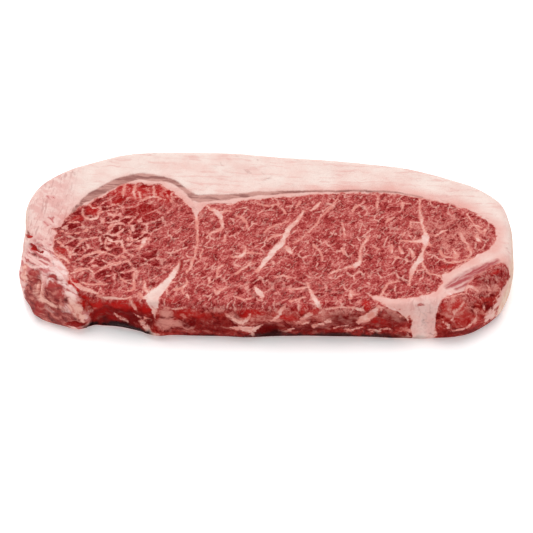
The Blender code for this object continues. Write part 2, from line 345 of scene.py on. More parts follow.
def upright_cutter(name, edge):
    """A closed wall over the outline at each level, with a face over each end."""
    outline = closed_in_front(edge)
    rings = np.array([np.column_stack([swayed(outline, z), np.full(len(outline), z)])
                      for z in CUTTER_LEVELS])
    levels, count = rings.shape[:2]
    number = np.arange(levels * count).reshape(levels, count)
    ends = [number[0, ::-1].tolist(), number[-1].tolist()]
    mesh = bpy.data.meshes.new(name)
    faces = loop_quads(levels, count).tolist() + ends
    mesh.from_pydata((rings.reshape(-1, 3) * MM).tolist(), [], faces)
    return add_object(name, mesh)


cutters = {"loin": upright_cutter("loin_cutter", LOIN_EDGE),
           "tail": upright_cutter("tail_cutter", TAIL_EDGE)}
print("cutters:", {name: len(item.data.vertices) for name, item in cutters.items()})

# %% [markdown]
# A Boolean keeps the slab's surface exactly and adds the hidden walls between the pieces. The
# result is copied into a new mesh, so no modifier stays on the piece.

# %% Cut the slab into its pieces


def cut_piece(name, operations):
    """The slab after each (cutter, operation) in turn."""
    item = add_object(name, slab.data.copy())
    for cutter, operation in operations:
        cut = item.modifiers.new(operation, "BOOLEAN")
        cut.operation, cut.solver, cut.object = operation, "MANIFOLD", cutters[cutter]
    bpy.context.view_layer.update()
    graph = bpy.context.evaluated_depsgraph_get()
    mesh = bpy.data.meshes.new_from_object(item.evaluated_get(graph))
    item.modifiers.clear()
    item.data = mesh
    mesh.name = name
    print(name, len(mesh.vertices), "vertices,", len(mesh.polygons), "faces")
    return item


loin = cut_piece("loin_muscle_skin", [("loin", "INTERSECT")])
tail = cut_piece("tail_muscle_skin", [("tail", "INTERSECT")])
fat = cut_piece("fat_cap_skin", [("loin", "DIFFERENCE"), ("tail", "DIFFERENCE")])
for helper in (slab, *cutters.values()):
    bpy.data.objects.remove(helper, do_unlink=True)

# %% [markdown]
# Veins and patches run from the cut face over the shoulder and down the front. One sheet of
# plan places serves both: each point is carried along the photograph's line of sight up to the
# cut face's plane. Behind the steak and under it, where that line does not see, the plain plan
# place is used instead.

# %% Places on the sheet


def read_points(mesh):
    flat = np.empty(len(mesh.vertices) * 3, np.float32)
    mesh.vertices.foreach_get("co", flat)
    return flat.reshape(-1, 3).astype(float) / MM


def smooth_step(value, low, high):
    """0 below low, 1 above high and 3t^2 - 2t^3 between."""
    t = ramp(value, low, high)
    return t * t * (3 - 2 * t)


def sheet_places(points):
    """Where the line from the camera through each point meets the cut face's plane: the
    camera's place plus the offset to the point, stretched by the ratio of their drops."""
    stretch = (THICKNESS - camera_at[2]) / (points[:, 2] - camera_at[2])
    seen = camera_at[:2] + (points[:, :2] - camera_at[:2]) * stretch[:, None]
    hidden = smooth_step(points[:, 1], 12, 26)
    hidden = np.maximum(hidden, 1 - smooth_step(points[:, 2], 0.2, 1.2))[:, None]
    return seen * (1 - hidden) + points[:, :2] * hidden


def wobbled(places, waves, seed):
    """Places pushed about by noise of two axes, so that drawn shapes get ragged outlines. Each
    wave is a size and a reach in millimetres."""
    moved = places.copy()
    at = np.column_stack([places, np.zeros(len(places))])
    for k, (size, reach) in enumerate(waves):
        push = [lattice_noise(at, size, seed + 2 * k + axis) for axis in (0, 1)]
        moved += np.column_stack(push) * reach
    return moved


def stroke_distance(places, strokes, reach=5.0):
    """For each place, the least distance to any stroke's edge, which is the distance to a
    segment of its smoothed line less half the width there, and that stroke's width. Places
    further off than reach keep reach."""
    nearest = np.full(len(places), reach)
    width = np.zeros(len(places))
    for stroke in strokes:
        line = through_points(stroke, 4, closed=False)
        margin = reach + line[:, 2].max()
        near = np.flatnonzero(
            (places > line[:, :2].min(axis=0) - margin).all(axis=1)
            & (places < line[:, :2].max(axis=0) + margin).all(axis=1)
        )
        at = places[near]
        for (x0, y0, w0), (x1, y1, w1) in zip(line[:-1], line[1:]):
            along = np.array([x1 - x0, y1 - y0])
            t = np.clip(((at - (x0, y0)) @ along) / max(along @ along, 1e-9), 0, 1)
            gap = np.hypot(at[:, 0] - x0 - t * along[0], at[:, 1] - y0 - t * along[1])
            here = w0 + (w1 - w0) * t
            closer = gap - here / 2 < nearest[near]
            nearest[near] = np.where(closer, gap - here / 2, nearest[near])
            width[near] = np.where(closer, here, width[near])
    return nearest, width


def ellipse_share(places, x, y, long_half, short_half, turn):
    """How far out each place is from an ellipse's middle, where 1 is the ellipse itself."""
    c, s = np.cos(np.radians(turn)), np.sin(np.radians(turn))
    dx, dy = places[:, 0] - x, places[:, 1] - y
    return np.hypot((dx * c + dy * s) / long_half, (dy * c - dx * s) / short_half)


def patch_mask(places, patches):
    """The strongest of several ellipses at each place: strength times an eased fall from the
    middle to the rim. A patch is x, y, half length, half width, turn in degrees, strength."""
    mask = np.zeros(len(places))
    for *ellipse, strength in patches:
        share = smooth_step(ellipse_share(places, *ellipse), 0.35, 1.25)
        mask = np.maximum(mask, strength * (1 - share))
    return mask


# %% [markdown]
# Marbling is fat that grew between bundles of muscle. The large veins differ from steak to
# steak, so they are strokes with a width at each point, read off the photograph; the fine net
# between them is a pattern in the material.

# %% Veins of fat in the lean
SEAM = [(-33.8, 9, 1.6), (-33.6, 5.6, 1.2), (-33.4, -0.5, 1.0), (-32.8, -8.3, 0.9),
        (-33.6, -14.6, 0.7), (-34.4, -19, 0.9), (-35.9, -24.7, 1.2), (-37.2, -28.4, 0.6)]
VEINS = [
    SEAM,
    # The great diagonal and its side branch.
    [(18, 11, 1.2), (14, 4, 1.8), (10.6, -0.5, 2.2), (7.9, -7.5, 2.4), (5.5, -12, 2.8), (1.6, -17.7, 2.8),
     (-1.5, -22.4, 2.3), (-4.6, -27.8, 1)],
    [(9.5, -2.8, 1), (5.5, -4.4, 1.1), (2.4, -6, 1), (0, -8, 0.5)],
    [(26, 17.5, 0.8), (23.8, 14.2, 1.6), (21.6, 11.6, 0.6)],
    [(36, 23, 0.2), (33.7, 18, 0.5), (31.3, 13.6, 0.8), (26.6, 7.3, 0.3), (22.7, 1, 0.8),
     (19.6, -2.8, 0.4), (15.7, -7.5, 0.5), (12, -10.4, 0.2)],
    [(45.4, 15.6, 0.6), (43.2, 13.8, 1.2), (41.4, 10.2, 0.5)],
    [(54, 22.4, 0.4), (54.4, 18.6, 0.9), (53.6, 13.8, 0.6)],
    [(36.6, 4, 0.5), (36.9, 0, 1.1), (37.2, -5.4, 0.4)],
    [(49.8, -4.4, 0.6), (47, -9, 1), (44.8, -14, 0.8), (44, -20.6, 1.6), (42.2, -23.2, 2.6),
     (39.6, -24.4, 1), (34, -26.2, 0.7), (31.3, -27.8, 1.2), (29.4, -29.4, 0.4)],
    # The star on the right and what leaves it.
    [(74.4, 20, 0.4), (74.6, 12, 0.8), (74.8, 7, 1.6), (75.2, 1.4, 1.3), (75.8, -3, 1.8), (76, -7, 3.6),
     (75.2, -11.4, 1.7), (73.6, -16, 1.4), (72.2, -20.4, 2.8), (69.4, -25, 2.2), (67.6, -30, 1.5),
     (66.5, -36, 0.7)],
    [(75.6, -7.6, 2.2), (71, -8.4, 1.4), (63.2, -7.8, 0.4)], [(76.4, -8.4, 2.2), (78.4, -11.4, 0.5)],
    [(80.6, -5.2, 0.6), (83.4, -3, 1.3), (86.4, -1, 0.5)],
    [(73.4, -21, 0.9), (75, -27, 0.8), (77.6, -29.4, 0.8), (81.8, -30.2, 1)],
    [(93.2, -3.4, 0.8), (93.4, -6.2, 1.7), (94.2, -9, 1), (95.8, -11, 0.5)],
    [(100.6, -3.6, 0.5), (101, -7.4, 2), (102.4, -8.6, 0.6)],
    [(97.4, 9.6, 0.9), (99, 4.4, 0.5), (101.6, -0.5, 0.8), (103.4, -3.6, 0.5)],
    [(98.2, 1.8, 0.4), (101.4, 1.6, 0.9), (103.4, 0.6, 0.3)], [(104.6, -0.4, 0.9), (103.8, -4.8, 0.5)],
    [(96, -12.6, 1.2), (97.2, -16.6, 0.9), (94.4, -18, 0.4)],
    [(82, -14.6, 0.9), (83.4, -17.8, 1.1), (87, -18.6, 0.8), (90.6, -18.2, 0.5)],
    [(82.6, -20.8, 0.4), (86, -21.8, 1), (90, -21.4, 0.8), (97.7, -18.8, 0.4)],
    [(88.4, -14, 0.5), (89.8, -17.2, 1.2), (88.8, -20, 0.5)], [(69.6, 4.2, 0.7), (73.8, 3.8, 1)],
    [(69.4, 4.2, 0.8), (69.2, 0.4, 0.5)], [(65.8, 18.4, 0.5), (66, 15.4, 1.1), (65.4, 12.6, 0.4)],
    [(66, 17.4, 0.7), (69.4, 16.4, 0.4)], [(57.6, 4, 0.6), (59.4, 6, 1.1), (61.6, 7.6, 0.5)],
    [(59.4, -10.4, 0.6), (59.2, -15.4, 1.1)], [(63, -12, 0.8), (64.2, -15.6, 1.4)],
    [(67.6, -13, 1), (69.2, -16.4, 1.5), (69, -18.6, 0.5)], [(65.2, -5.2, 0.5), (66, -2.6, 0.9)],
    [(61, -18.4, 1), (64.4, -19.6, 0.4)], [(56.6, -34.6, 0.5), (54.8, -38.2, 0.8), (53, -41.6, 0.5)],
    [(57, -34.2, 0.6), (62, -33.4, 0.3)],
    [(22, -10.7, 0.4), (24.6, -14, 0.8), (26.6, -17.8, 0.5), (26, -21, 0.4)],
    [(36, -13, 1), (36.8, -17.2, 0.4)], [(50.8, -11.4, 0.5), (53.6, -14, 0.3)],
    [(5.2, 15.4, 0.3), (8, 12.8, 0.9), (9, 10, 0.6)], [(-4, 16.4, 0.3), (1, 15, 0.8), (6, 16, 0.3)],
    [(14.2, 13, 0.3), (16.4, 17.4, 0.7)], [(11, 4.6, 0.3), (4.6, 2.2, 0.6), (-1, -2.4, 0.3)],
    # The lower middle: the forked vein, the blob and the crescent at the shoulder.
    [(10.4, -38.6, 0.5), (13.4, -37.8, 1.4), (18.6, -37.2, 1), (20, -36.4, 0.6)],
    [(18.8, -33.4, 0.5), (20, -38, 1.2), (22, -43, 1.8), (23.4, -47, 2.4), (24.4, -49.6, 1.2)],
    [(39.2, -38.4, 0.3), (39, -41.8, 1.6), (38.8, -44, 0.3)], [(36.6, -41.8, 0.3), (41.8, -41.8, 0.4)],
    [(-5.4, -37.4, 1.4), (-4, -39.6, 2.6), (-2.2, -42.6, 2)],
    [(11, -46, 0.5), (14, -45, 0.8), (18, -43.2, 0.4)],
    [(9.4, -11.6, 0.5), (10.6, -13.8, 2), (12.4, -16.4, 0.7)], [(10.2, -13.4, 1.2), (8.2, -12, 0.4)],
    [(3.8, -31.6, 0.3), (8, -30.4, 0.7), (12.6, -31.6, 0.3)],
    # Between the seam and the great diagonal.
    [(-26, 12.6, 1.6), (-23.4, 9.6, 2.8), (-22, 5.8, 1.6), (-20.9, 1.8, 1.5), (-22.4, -1.3, 1.4),
     (-26, -2.8, 1.1), (-28.7, -6.2, 0.4)],
    [(-22.6, 9.8, 1.8), (-19.4, 11.4, 1.2), (-16.6, 11, 0.4)], [(-28.6, 14.8, 1.4), (-26.4, 12, 1.4)],
    [(-15, 8.4, 0.5), (-11.8, 7, 0.9), (-10.2, 4.4, 1), (-9.2, 0.8, 0.5)],
    [(-10.4, -10.8, 0.4), (-10.4, -14.6, 1.2), (-11.4, -17.4, 2), (-14.4, -18.4, 1.1),
     (-16.6, -18.6, 0.5)],
    [(-11, -16.6, 1), (-7, -15.8, 0.8), (-2, -16.4, 0.4)],
    [(-20.6, -23.4, 1.1), (-22.6, -25.4, 0.9), (-23.4, -30, 0.5)],
    [(-6.8, -21.2, 0.6), (-9.2, -24, 1.1), (-12, -26.8, 1), (-14, -29.2, 0.5)],
    [(-8.8, -23.6, 0.9), (-5.4, -22.4, 0.4)], [(-27, -31.8, 1.2), (-26.6, -34.4, 0.9)],
    [(-24, -38.4, 0.6), (-23, -41, 1.6), (-20.6, -38.6, 0.8), (-18.6, -37.6, 0.4)],
    [(-37.6, -31.4, 0.5), (-37.2, -34.8, 1), (-39.2, -37.2, 1.2), (-42.6, -38.6, 0.7)],
    [(-39.4, -37.6, 0.8), (-38.6, -41.4, 0.4)], [(-36.6, -42, 1.4), (-36, -43.6, 0.8)],
    [(-19.4, -4.6, 0.9), (-19.8, -8.8, 0.4)], [(-30.6, -13, 0.3), (-31.2, -20, 0.6)],
    [(-15.2, -42.8, 0.4), (-10.6, -44.2, 0.8), (-6.8, -43.8, 0.4)],
    [(-29.2, -26.8, 0.3), (-28.2, -22, 0.5)],
    # The forked vein on the left, down to the shoulder.
    [(-41, -21.6, 0.8), (-42.2, -26, 2), (-44.8, -31.6, 3), (-47.8, -36.4, 4.2), (-51, -40.6, 5.6),
     (-52.6, -43.6, 6.4), (-51.9, -47.6, 4.4), (-51.5, -50.8, 2.6), (-51.3, -53.8, 1.6),
     (-51, -56.6, 0.6)],
    [(-54.6, -42.6, 3), (-57, -43.6, 1.4), (-58.6, -40.2, 0.7)],
    [(-52.6, -41.4, 2), (-55, -40, 1.6), (-56.4, -36.6, 1.2), (-57, -33, 0.5)],
    [(-62.3, -25.4, 0.7), (-61.7, -31, 0.9), (-62.1, -38, 0.8), (-64.6, -39.4, 0.5)],
    # The coarse net of the left lobe.
    [(-57.8, -6.6, 2), (-58.8, -9.4, 2), (-60.2, -13.6, 0.7)], [(-57.4, -7, 1.6), (-55.2, -7.6, 0.5)],
    [(-72, 11.6, 0.6), (-73.4, 9, 1.3), (-75, 6.2, 1)],
    [(-88.6, 8.8, 0.8), (-85.6, 6.2, 1.7), (-82, 7.2, 1.6), (-81, 10, 0.6)],
    [(-81.6, 9.6, 0.8), (-77, 11.6, 0.8), (-72.6, 12.6, 0.8), (-69.4, 14, 0.5)],
    [(-86, 15.6, 0.8), (-83.4, 13.6, 1.2), (-80.6, 14.4, 0.6), (-76.4, 14.6, 0.7), (-72, 16.4, 0.4)],
    [(-60.4, 18, 0.5), (-58.4, 20, 1), (-54.6, 20.9, 1.3), (-49.4, 19.2, 0.6)],
    [(-55.2, 28.6, 0.7), (-55, 24.4, 1.3), (-54.8, 21, 1.4)],
    [(-64.8, 28.4, 0.6), (-65, 24, 1.2), (-64, 19.6, 0.5)],
    [(-69.4, 29.8, 0.8), (-69.8, 25, 0.9), (-70.2, 20.6, 0.5)],
    [(-62.4, 24.6, 0.7), (-61.4, 20, 1.1), (-61.2, 17.6, 0.4)],
    [(-50.8, 25.6, 0.4), (-47.6, 20.6, 0.8), (-46.6, 17.4, 0.4)],
    [(-66.4, 2, 0.5), (-65.2, 4.4, 1), (-63.4, 7.8, 0.5)],
    [(-75.8, -1.4, 0.7), (-75.2, 1.6, 1), (-72.6, 3.2, 1.4), (-70.4, 2.6, 0.8)],
    [(-76.2, -6.4, 1.1), (-73, -8.6, 1.7), (-69.4, -8.2, 1.6), (-68.2, -11.4, 1.1), (-67.6, -15, 0.5)],
    [(-70.2, 1.2, 0.8), (-70.4, -2.6, 0.9), (-70.4, -6.6, 1)],
    [(-65.8, -0.6, 0.6), (-65.4, -4, 0.9), (-66.2, -7.2, 0.9)],
    [(-59.6, -1, 0.5), (-59.8, -4, 0.9), (-61.8, -6.8, 0.8), (-65.8, -7.4, 0.6)],
    [(-76.4, -7.2, 1), (-77, -11.4, 1.4), (-74.4, -13.8, 0.6)],
    [(-86.6, -17.8, 0.5), (-83, -16, 1.2), (-78, -15.4, 1.3), (-74.8, -16, 0.5)],
    [(-75.8, -15.6, 0.6), (-72, -17.6, 0.8), (-67.4, -18.4, 0.9), (-65, -21, 0.5)],
    [(-91.6, -29, 0.8), (-87.4, -26.4, 1.2), (-83.4, -26, 1.4), (-80.6, -28, 0.5)],
    [(-79.6, -27.8, 0.5), (-75.8, -24.6, 1.1), (-72.4, -22.6, 0.9), (-66, -21, 1), (-63.8, -23, 0.5)],
    [(-87.2, -12.4, 1.5), (-86.4, -14, 1.2)],
    [(-101.4, -15, 1), (-98.6, -17.8, 1.4), (-95.4, -19, 1.6), (-92.6, -22, 0.6)],
    [(-99.8, -8.6, 1), (-96.4, -11, 1.2), (-93.4, -14.6, 1), (-92.4, -18.4, 0.8)],
    [(-98.6, -1.8, 0.8), (-93, -3.6, 0.9), (-87, -1.6, 0.8), (-83.6, 1.2, 0.6), (-79.6, 1.4, 0.4)],
    [(-90.4, -9.6, 0.4), (-86.2, -6.8, 0.8), (-81, -5.4, 0.9), (-77.6, -6, 0.6)],
    [(-96, 3.4, 0.5), (-91, 4.6, 0.6), (-88.4, 2.6, 0.3)],
    [(-85.6, -4.2, 0.3), (-84.6, -1, 0.6), (-84.8, 2, 0.4)], [(-78.4, 4.8, 0.4), (-78.8, 0.4, 0.7)],
    [(-87, -34, 0.4), (-81, -35.6, 0.7), (-74.4, -35, 0.4)],
    [(-69.4, -28.6, 0.3), (-66.4, -33.4, 0.6), (-62.4, -35, 0.4)],
    [(-92.4, -32.6, 0.8), (-88.8, -35.6, 1.7), (-83.8, -38.2, 1.9), (-78, -41, 1.1)],
    [(-78, -42.4, 0.6), (-74.1, -43.1, 1.4), (-70.3, -44, 1.9), (-66.6, -44.3, 1.4), (-62.6, -43.2, 0.8)],
    # Down the front side.
    [(-62.4, -45.5, 0.6), (-60.8, -48.5, 1.1), (-59.3, -51.5, 0.5)],
    [(-70.1, -53.2, 0.5), (-66.8, -55.6, 1), (-63, -58.5, 0.6)],
    [(-57.1, -57.9, 1), (-54.1, -62.6, 2.6), (-51.3, -64.9, 3.4), (-49.1, -64.3, 2)],
    [(-60.4, -53.4, 0.3), (-56, -56.2, 0.8), (-52.6, -58.4, 0.4)],
    [(-46.4, -49.6, 0.4), (-41.9, -50.3, 0.9), (-37, -49.6, 0.4)],
    [(-19, -52.6, 0.6), (-16.7, -54.4, 1.6), (-13.9, -56.9, 3), (-10.7, -57.8, 2.6), (-8.4, -55.6, 1.4),
     (-7.1, -53.2, 0.6)],
    [(-17, -61.1, 0.8), (-12.4, -61.3, 2.6), (-7.9, -62, 4), (-5.6, -62.6, 3), (-2, -60.4, 1.2)],
    [(-7.9, -62, 2.4), (-6.4, -65.5, 1.8)],
    [(2.5, -57.4, 1.4), (4.8, -54.4, 2), (6.6, -51.5, 1.8), (8, -49.1, 0.8)],
    [(5.7, -63.8, 0.5), (8.8, -63.2, 0.9), (11.6, -61.7, 1.2), (12.9, -60.9, 0.5)],
    [(15.7, -55, 1), (18, -53.8, 2), (20.8, -53.2, 1)],
    [(21.1, -60.9, 1), (23.4, -59.1, 1.8), (26.2, -57.9, 1.2), (28.9, -56.8, 2)],
    [(24.5, -52.1, 0.6), (28.2, -50.6, 0.9), (33.7, -49.7, 1.2), (39.2, -50, 1), (43.8, -50.6, 1.7)],
    [(31, -61.6, 0.5), (35, -60.4, 1), (38.4, -60.8, 0.5)],
    [(12.6, -57.6, 0.6), (16.4, -58.4, 1.2), (19.6, -57.6, 0.6)],
    [(41.6, -57.9, 1.6), (44.4, -55.9, 3.6), (47.8, -54.2, 4.2), (50.1, -51.5, 2.4), (51.4, -49, 1)],
    [(35.6, -62.6, 0.6), (38.7, -63.2, 1), (41.5, -61.7, 0.8), (43.3, -60.9, 0.5)],
    [(46.9, -62.6, 0.8), (50.5, -63.5, 1.4), (53.7, -62.3, 0.8), (56.8, -62.6, 0.6)],
]
TAIL_VEINS = [
    [(91.8, -38.6, 1.6), (94.2, -36.4, 2), (97, -38.6, 1), (98.6, -40.4, 0.4)],
    [(82.4, -44.6, 0.5), (86.6, -42.6, 0.7), (91.6, -41, 0.6), (96.4, -42.6, 0.6), (99.2, -46, 0.7),
     (99.8, -51, 0.5)],
    [(90.8, -46.6, 0.4), (88.8, -49.2, 0.8), (85.6, -51.4, 0.9), (83, -50, 0.5)],
    [(85.8, -51.4, 0.8), (85, -54.6, 0.5), (84.2, -57, 0.3)],
    [(93, -48, 0.4), (95.4, -52, 0.6), (95.6, -55.4, 0.8), (93.6, -58.6, 1.4), (91.6, -60.4, 0.6)],
    [(80.2, -57.6, 0.6), (82.6, -59.6, 1.4), (82, -62.4, 0.8)],
    [(83.6, -63.6, 0.6), (88.6, -62.4, 1.4), (92.4, -60.6, 0.7)],
    [(101.8, -34.6, 0.3), (103.6, -38, 0.5), (102, -43.6, 0.4)],
]
print("veins:", len(VEINS), "in the loin muscle,", len(TAIL_VEINS), "in the tail muscle")

# %% [markdown]
# The membrane over the fat cap shows as a grey-brown band between cap and lean, thick at the
# hip end and a hair's width on the right. At the hip end a flap folds over beside the red
# front, with two gashes behind it and pale ridges of bunched membrane round it.

# %% Lines of membrane, folds and ridges
SILVERSKIN = [
    [(-91, 15.4, 1.6), (-89.2, 18.2, 3), (-85, 22, 4.4), (-80, 25.9, 4.5), (-75.3, 29.4, 4.8),
     (-70.9, 32.1, 4.4), (-66, 34.2, 4), (-62, 35, 4.2), (-57, 34.2, 4.2), (-51, 32.8, 3),
     (-45.5, 30.5, 2.6), (-41, 26.2, 2), (-37, 22.2, 2.8), (-33.6, 19.8, 4.4), (-28, 20.3, 4),
     (-20, 20.7, 3.6), (-10, 22.3, 2.9), (0, 23.4, 2.2), (10, 23.9, 1.6), (20, 24.6, 1.3),
     (38, 24.9, 1.2), (50, 24.8, 0.9), (60, 24.2, 0.6), (68, 22.9, 0.5), (76, 20.6, 0.4)],
    [(-94, 10.2, 1.8), (-93, 12.6, 2.4), (-91.6, 15.4, 1.2)],
]
FLAP_EDGE = [
    (-87, -40.6), (-86, -43.1), (-82.9, -46.1), (-80.5, -50.2), (-79.6, -54.4), (-79.9, -59.1),
    (-81, -62.6), (-84, -66),
]
FOLDS = [
    [(x, y, 0.5) for x, y in FLAP_EDGE], [(-114.8, -2.4, 0.6), (-114.6, -4.4, 1.4), (-115.2, -6.4, 0.5)],
    [(-113, -10.2, 0.6), (-110.2, -12.2, 1.4), (-106.8, -15, 0.6)],
    [(-106.6, -32.4, 0.3), (-105.4, -37, 0.6), (-105.8, -42, 0.3)],
    [(-40.2, -20.6, 0.5), (-40.4, -26.4, 0.9)], [(-51.9, -54.6, 0.3), (-51.2, -58.4, 0.9)],
]
RIDGES = [
    [(-103.6, -30.8, 3.4), (-104.6, -35, 5.2), (-104.4, -40.3, 5), (-101.6, -45.5, 3.8),
     (-97, -48.6, 2.8), (-93, -50.6, 1.8)],
    [(-102.4, -31.5, 1), (-98.6, -33, 0.8), (-95, -34.8, 2), (-92.4, -37.4, 2.6)],
    [(-94, -38.2, 1.4), (-90.3, -42.6, 3.8), (-87.8, -47.4, 5.4), (-85.6, -51.6, 5.4),
     (-83.8, -55.2, 2.8), (-82.6, -57.4, 0.6)],
    [(-92.6, -29.4, 0.8), (-91.8, -34.6, 0.9), (-88.9, -40.4, 0.9), (-84.8, -46, 0.8)],
    [(-109.6, -25.2, 0.6), (-104, -24.8, 1.2), (-101.4, -28.6, 0.8)],
    [(-113.4, -24, 2.6), (-113.2, -29.4, 2.8), (-112, -33.6, 1.8)],
]
PURPLE = [
    [(83.6, -37.4, 1), (88.1, -34.4, 3), (91.6, -31.8, 4), (95.3, -29.4, 4.4), (100.2, -26.3, 3.8),
     (104.5, -23.6, 2.2), (108.6, -20.8, 0.6)],
    [(88, -38, 0.6), (92, -36, 1.2), (96.4, -33.6, 0.6)],
]
RED_BAND = [
    [(-92.8, -27.4, 1), (-90.8, -34.4, 1.6), (-86, -40.2, 3.6), (-82.2, -44.8, 4), (-80.6, -49.3, 2.4),
     (-80.1, -54, 1)],
]
print("silverskin:", sum(map(len, SILVERSKIN)), "points,", len(RIDGES), "ridges")

# %% [markdown]
# Everything else on the surface is a soft patch: meat that shows through, flesh under the membrane, pale
# film, dark patches, wet blood in hollows, a painted shadow at the foot, and where the net is coarse. On
# the lean the dark patches are partly a deeper red and partly painted shade in hollows, gashes and low on
# the front; on the fat they mark the membrane.
# An ellipse with a strength is enough for each, because the places it is read at are pushed
# about. A row is x, y, half length, half width, turn in degrees and strength.

# %% Patches
HAIRY = [(73, -52, 12, 16, 0, 0.7)]
HIP = [(-108, -24, 50, 42, 0, 1)]
MEAT = [
    (-114.6, -4.6, 2.4, 1.1, -60, 0.85), (-110, -12.4, 5, 1.7, -37, 1), (-86.4, -58.6, 8, 2.8, 4, 0.9),
]
FLESH = [
    (-107.8, -30.4, 4.4, 5, 10, 0.6), (-108.4, -41, 8, 4.8, 78, 1), (-97, -42.6, 9, 5.4, -24, 1),
    (-94.2, -56.4, 15, 5.4, -8, 1), (-104.6, -51, 8, 5.4, -60, 1), (-98, -48.6, 8, 5, -20, 0.7),
    (-107, -18.6, 9, 1.6, -36, 0.4), (73.4, -56, 5, 12, 0, 0.24), (-107, -37.6, 2.4, 6, 0, 1),
    (-110.4, -23.6, 6, 1.6, -36, 0.4), (-99.4, -34.6, 6.4, 4, -8, 1.1), (-105, -13, 8, 1.4, -40, 0.3),
    (71.2, -48.2, 2.2, 1.5, 20, 0.55),
]
PALE = [
    (-97.4, -26.4, 8, 4.6, -52, 1), (-103, -17.5, 10, 3, -50, 0.6), (-46.4, -56.6, 8.4, 6, 80, 0.8),
    (-41.4, -58.6, 9, 3.6, -14, 0.7), (-35.6, -59.8, 4, 2.2, 0, 0.7), (-12.6, -56.4, 7, 4.6, -35, 0.8),
    (33, -52.6, 9, 2.6, 5, 0.7), (45.6, -55, 6.4, 3.2, 42, 1), (18.4, -54, 5, 2, 15, 0.8),
    (26, -58.6, 6, 2.4, 22, 0.7), (34.5, -55.6, 2.4, 1.8, 0, 0.9), (-3.6, -44.8, 7, 4, 0, 0.35),
    (-60, -50, 7, 3.6, -60, 0.5), (-24, -51, 8, 2, -4, 0.6), (8, -51, 8, 2.4, 20, 0.5),
    (58.6, -53.4, 7, 4, -35, 0.8), (86, -60.4, 8, 3, 10, 0.4), (102, -37, 11, 8, 50, 0.6),
    (88, -50, 12, 12, 0, 0.7), (20, -56, 60, 9, 0, 0.55), (88, -4, 26, 18, 0, 0.55),
]
# On the lean these patches are partly a deeper red and partly painted shade, in hollows, gashes and low
# on the front; on the fat they mark the membrane.
DARK = [
    (-66, -55.6, 17, 8.6, -8, 1), (0, -62.6, 8, 4.6, 0, 1), (35, -57.6, 9, 5, -10, 0.7),
    (58, -57.4, 8, 6, 0, 0.55), (50.7, -59, 7, 3.4, 0, 0.9), (-24, -60.4, 16, 6.4, 0, 0.6),
    (18, -62, 16, 3.6, 0, 0.9), (-55.4, -51, 4, 3.6, 50, 0.8), (-53, -59.4, 4, 2.4, 60, 0.9),
    (104, -30.4, 9, 5.6, 30, 0.35), (-108, -27, 24, 12, 80, 0.7), (-99, -46, 18, 16, -10, 0.9),
    (-86, -54, 12, 8, -60, 0.6), (90, -63.6, 16, 3.4, 0, 0.6), (-90, 2, 12, 14, 0, 0.2),
    (-104, 5, 3.4, 2.8, 40, 0.7), (-106, 20, 3, 2.4, 0, 0.5),
]
WET = [
    (-67, -47.6, 9, 3.2, -2, 1), (-77.6, -47.6, 4.6, 3.4, 70, 1), (-72, -56, 8, 5, -20, 0.5),
    (-84.6, 11.8, 4.6, 3.4, 20, 0.65), (-91, 7, 3.6, 2, 10, 0.6), (-73, 17.6, 6, 3.4, 20, 0.5),
    (-97.4, -14.6, 3, 2.8, 40, 0.65), (-66, 24.6, 13, 6, 0, 0.8), (-50.6, 22.6, 9, 6, -30, 0.7),
    (71.4, -49.2, 3, 3, 0, 1), (-94, -40.8, 3.8, 2.8, 70, 1), (-104.4, -50, 6, 3.4, 80, 0.8),
    (-107.8, -30, 3.6, 3.6, 10, 0.6), (-90.6, -35, 8, 3.6, -58, 1), (-99.4, -34.8, 5.8, 3.6, 0, 1),
    (-84.4, -44.6, 9, 3.4, -58, 1), (-80.6, -52, 7, 2.6, -80, 0.6), (90, -54.6, 8, 5, 0, 0.7),
    (-60.6, -49, 6, 4, 0, 0.8), (-110.4, -12, 4, 2, -37, 1), (-114.6, -4, 2, 2, 0, 1),
    (-34.1, -53, 9, 3.6, -6, 0.75), (-55.2, -49.2, 3, 4.4, 30, 0.9), (-7.1, -52.6, 6, 2.8, 0, 0.9),
    (8.4, -54.2, 7, 3, 0, 0.9), (15.8, -49.7, 3.4, 2.4, 30, 0.8), (22.2, -50.9, 4, 2.6, 0, 0.8),
    (45.7, -48.4, 2.6, 3.4, 0, 1), (50.7, -58.5, 6, 2.6, 0, 0.8), (24, -47.6, 4, 2.6, 0, 0.4),
    (-86.4, -59.4, 7, 2.6, 0, 0.25), (88.4, -49.4, 5, 5, 10, 0.9), (-60, 12, 10, 8, 0, 0.3),
    (82.6, -51, 2.4, 7, 0, 0.7), (89, -56.6, 6, 2.4, 0, 0.7), (107.6, -27.4, 2.8, 1.6, 0, 0.7),
    (-44, -44, 5, 3, 0, 0.4), (84, -24.4, 6, 1.6, 12, 0.5),
]
# These patches are a painted shadow: near black low on the front, where the meat meets the table.
FOOT_SHADOW = [
    (2, -66, 9, 3, 0, 1), (34, -67.4, 40, 2.4, 0, 1), (-76.4, -60, 7, 2.6, -4, 1.3),
    (-66, -61, 12, 3, -14, 1.3), (-57, -63.4, 8, 2.4, -18, 1.2), (-26, -67.4, 30, 2, 0, 0.9),
]
COARSE = [
    (-74, 2, 34, 24, 14, 1), (-92, -6, 18, 14, 70, 1), (-70, -22, 36, 20, 0, 0.7),
    (-50, 24, 20, 9, -20, 0.8), (30, 14, 40, 12, 0, 0.35), (84, 0, 26, 22, 0, 0.45),
    (10, -38, 46, 10, 0, 0.55),
]
print("patches:", len(PALE + DARK + WET + FLESH + MEAT + FOOT_SHADOW + COARSE))

# %% [markdown]
# All three pieces are measured together, so two that meet get the same numbers along their
# join. Each number becomes an attribute that the materials read. Distances are in millimetres
# and fall below zero inside a vein, which lets a material shift or soften the edge.

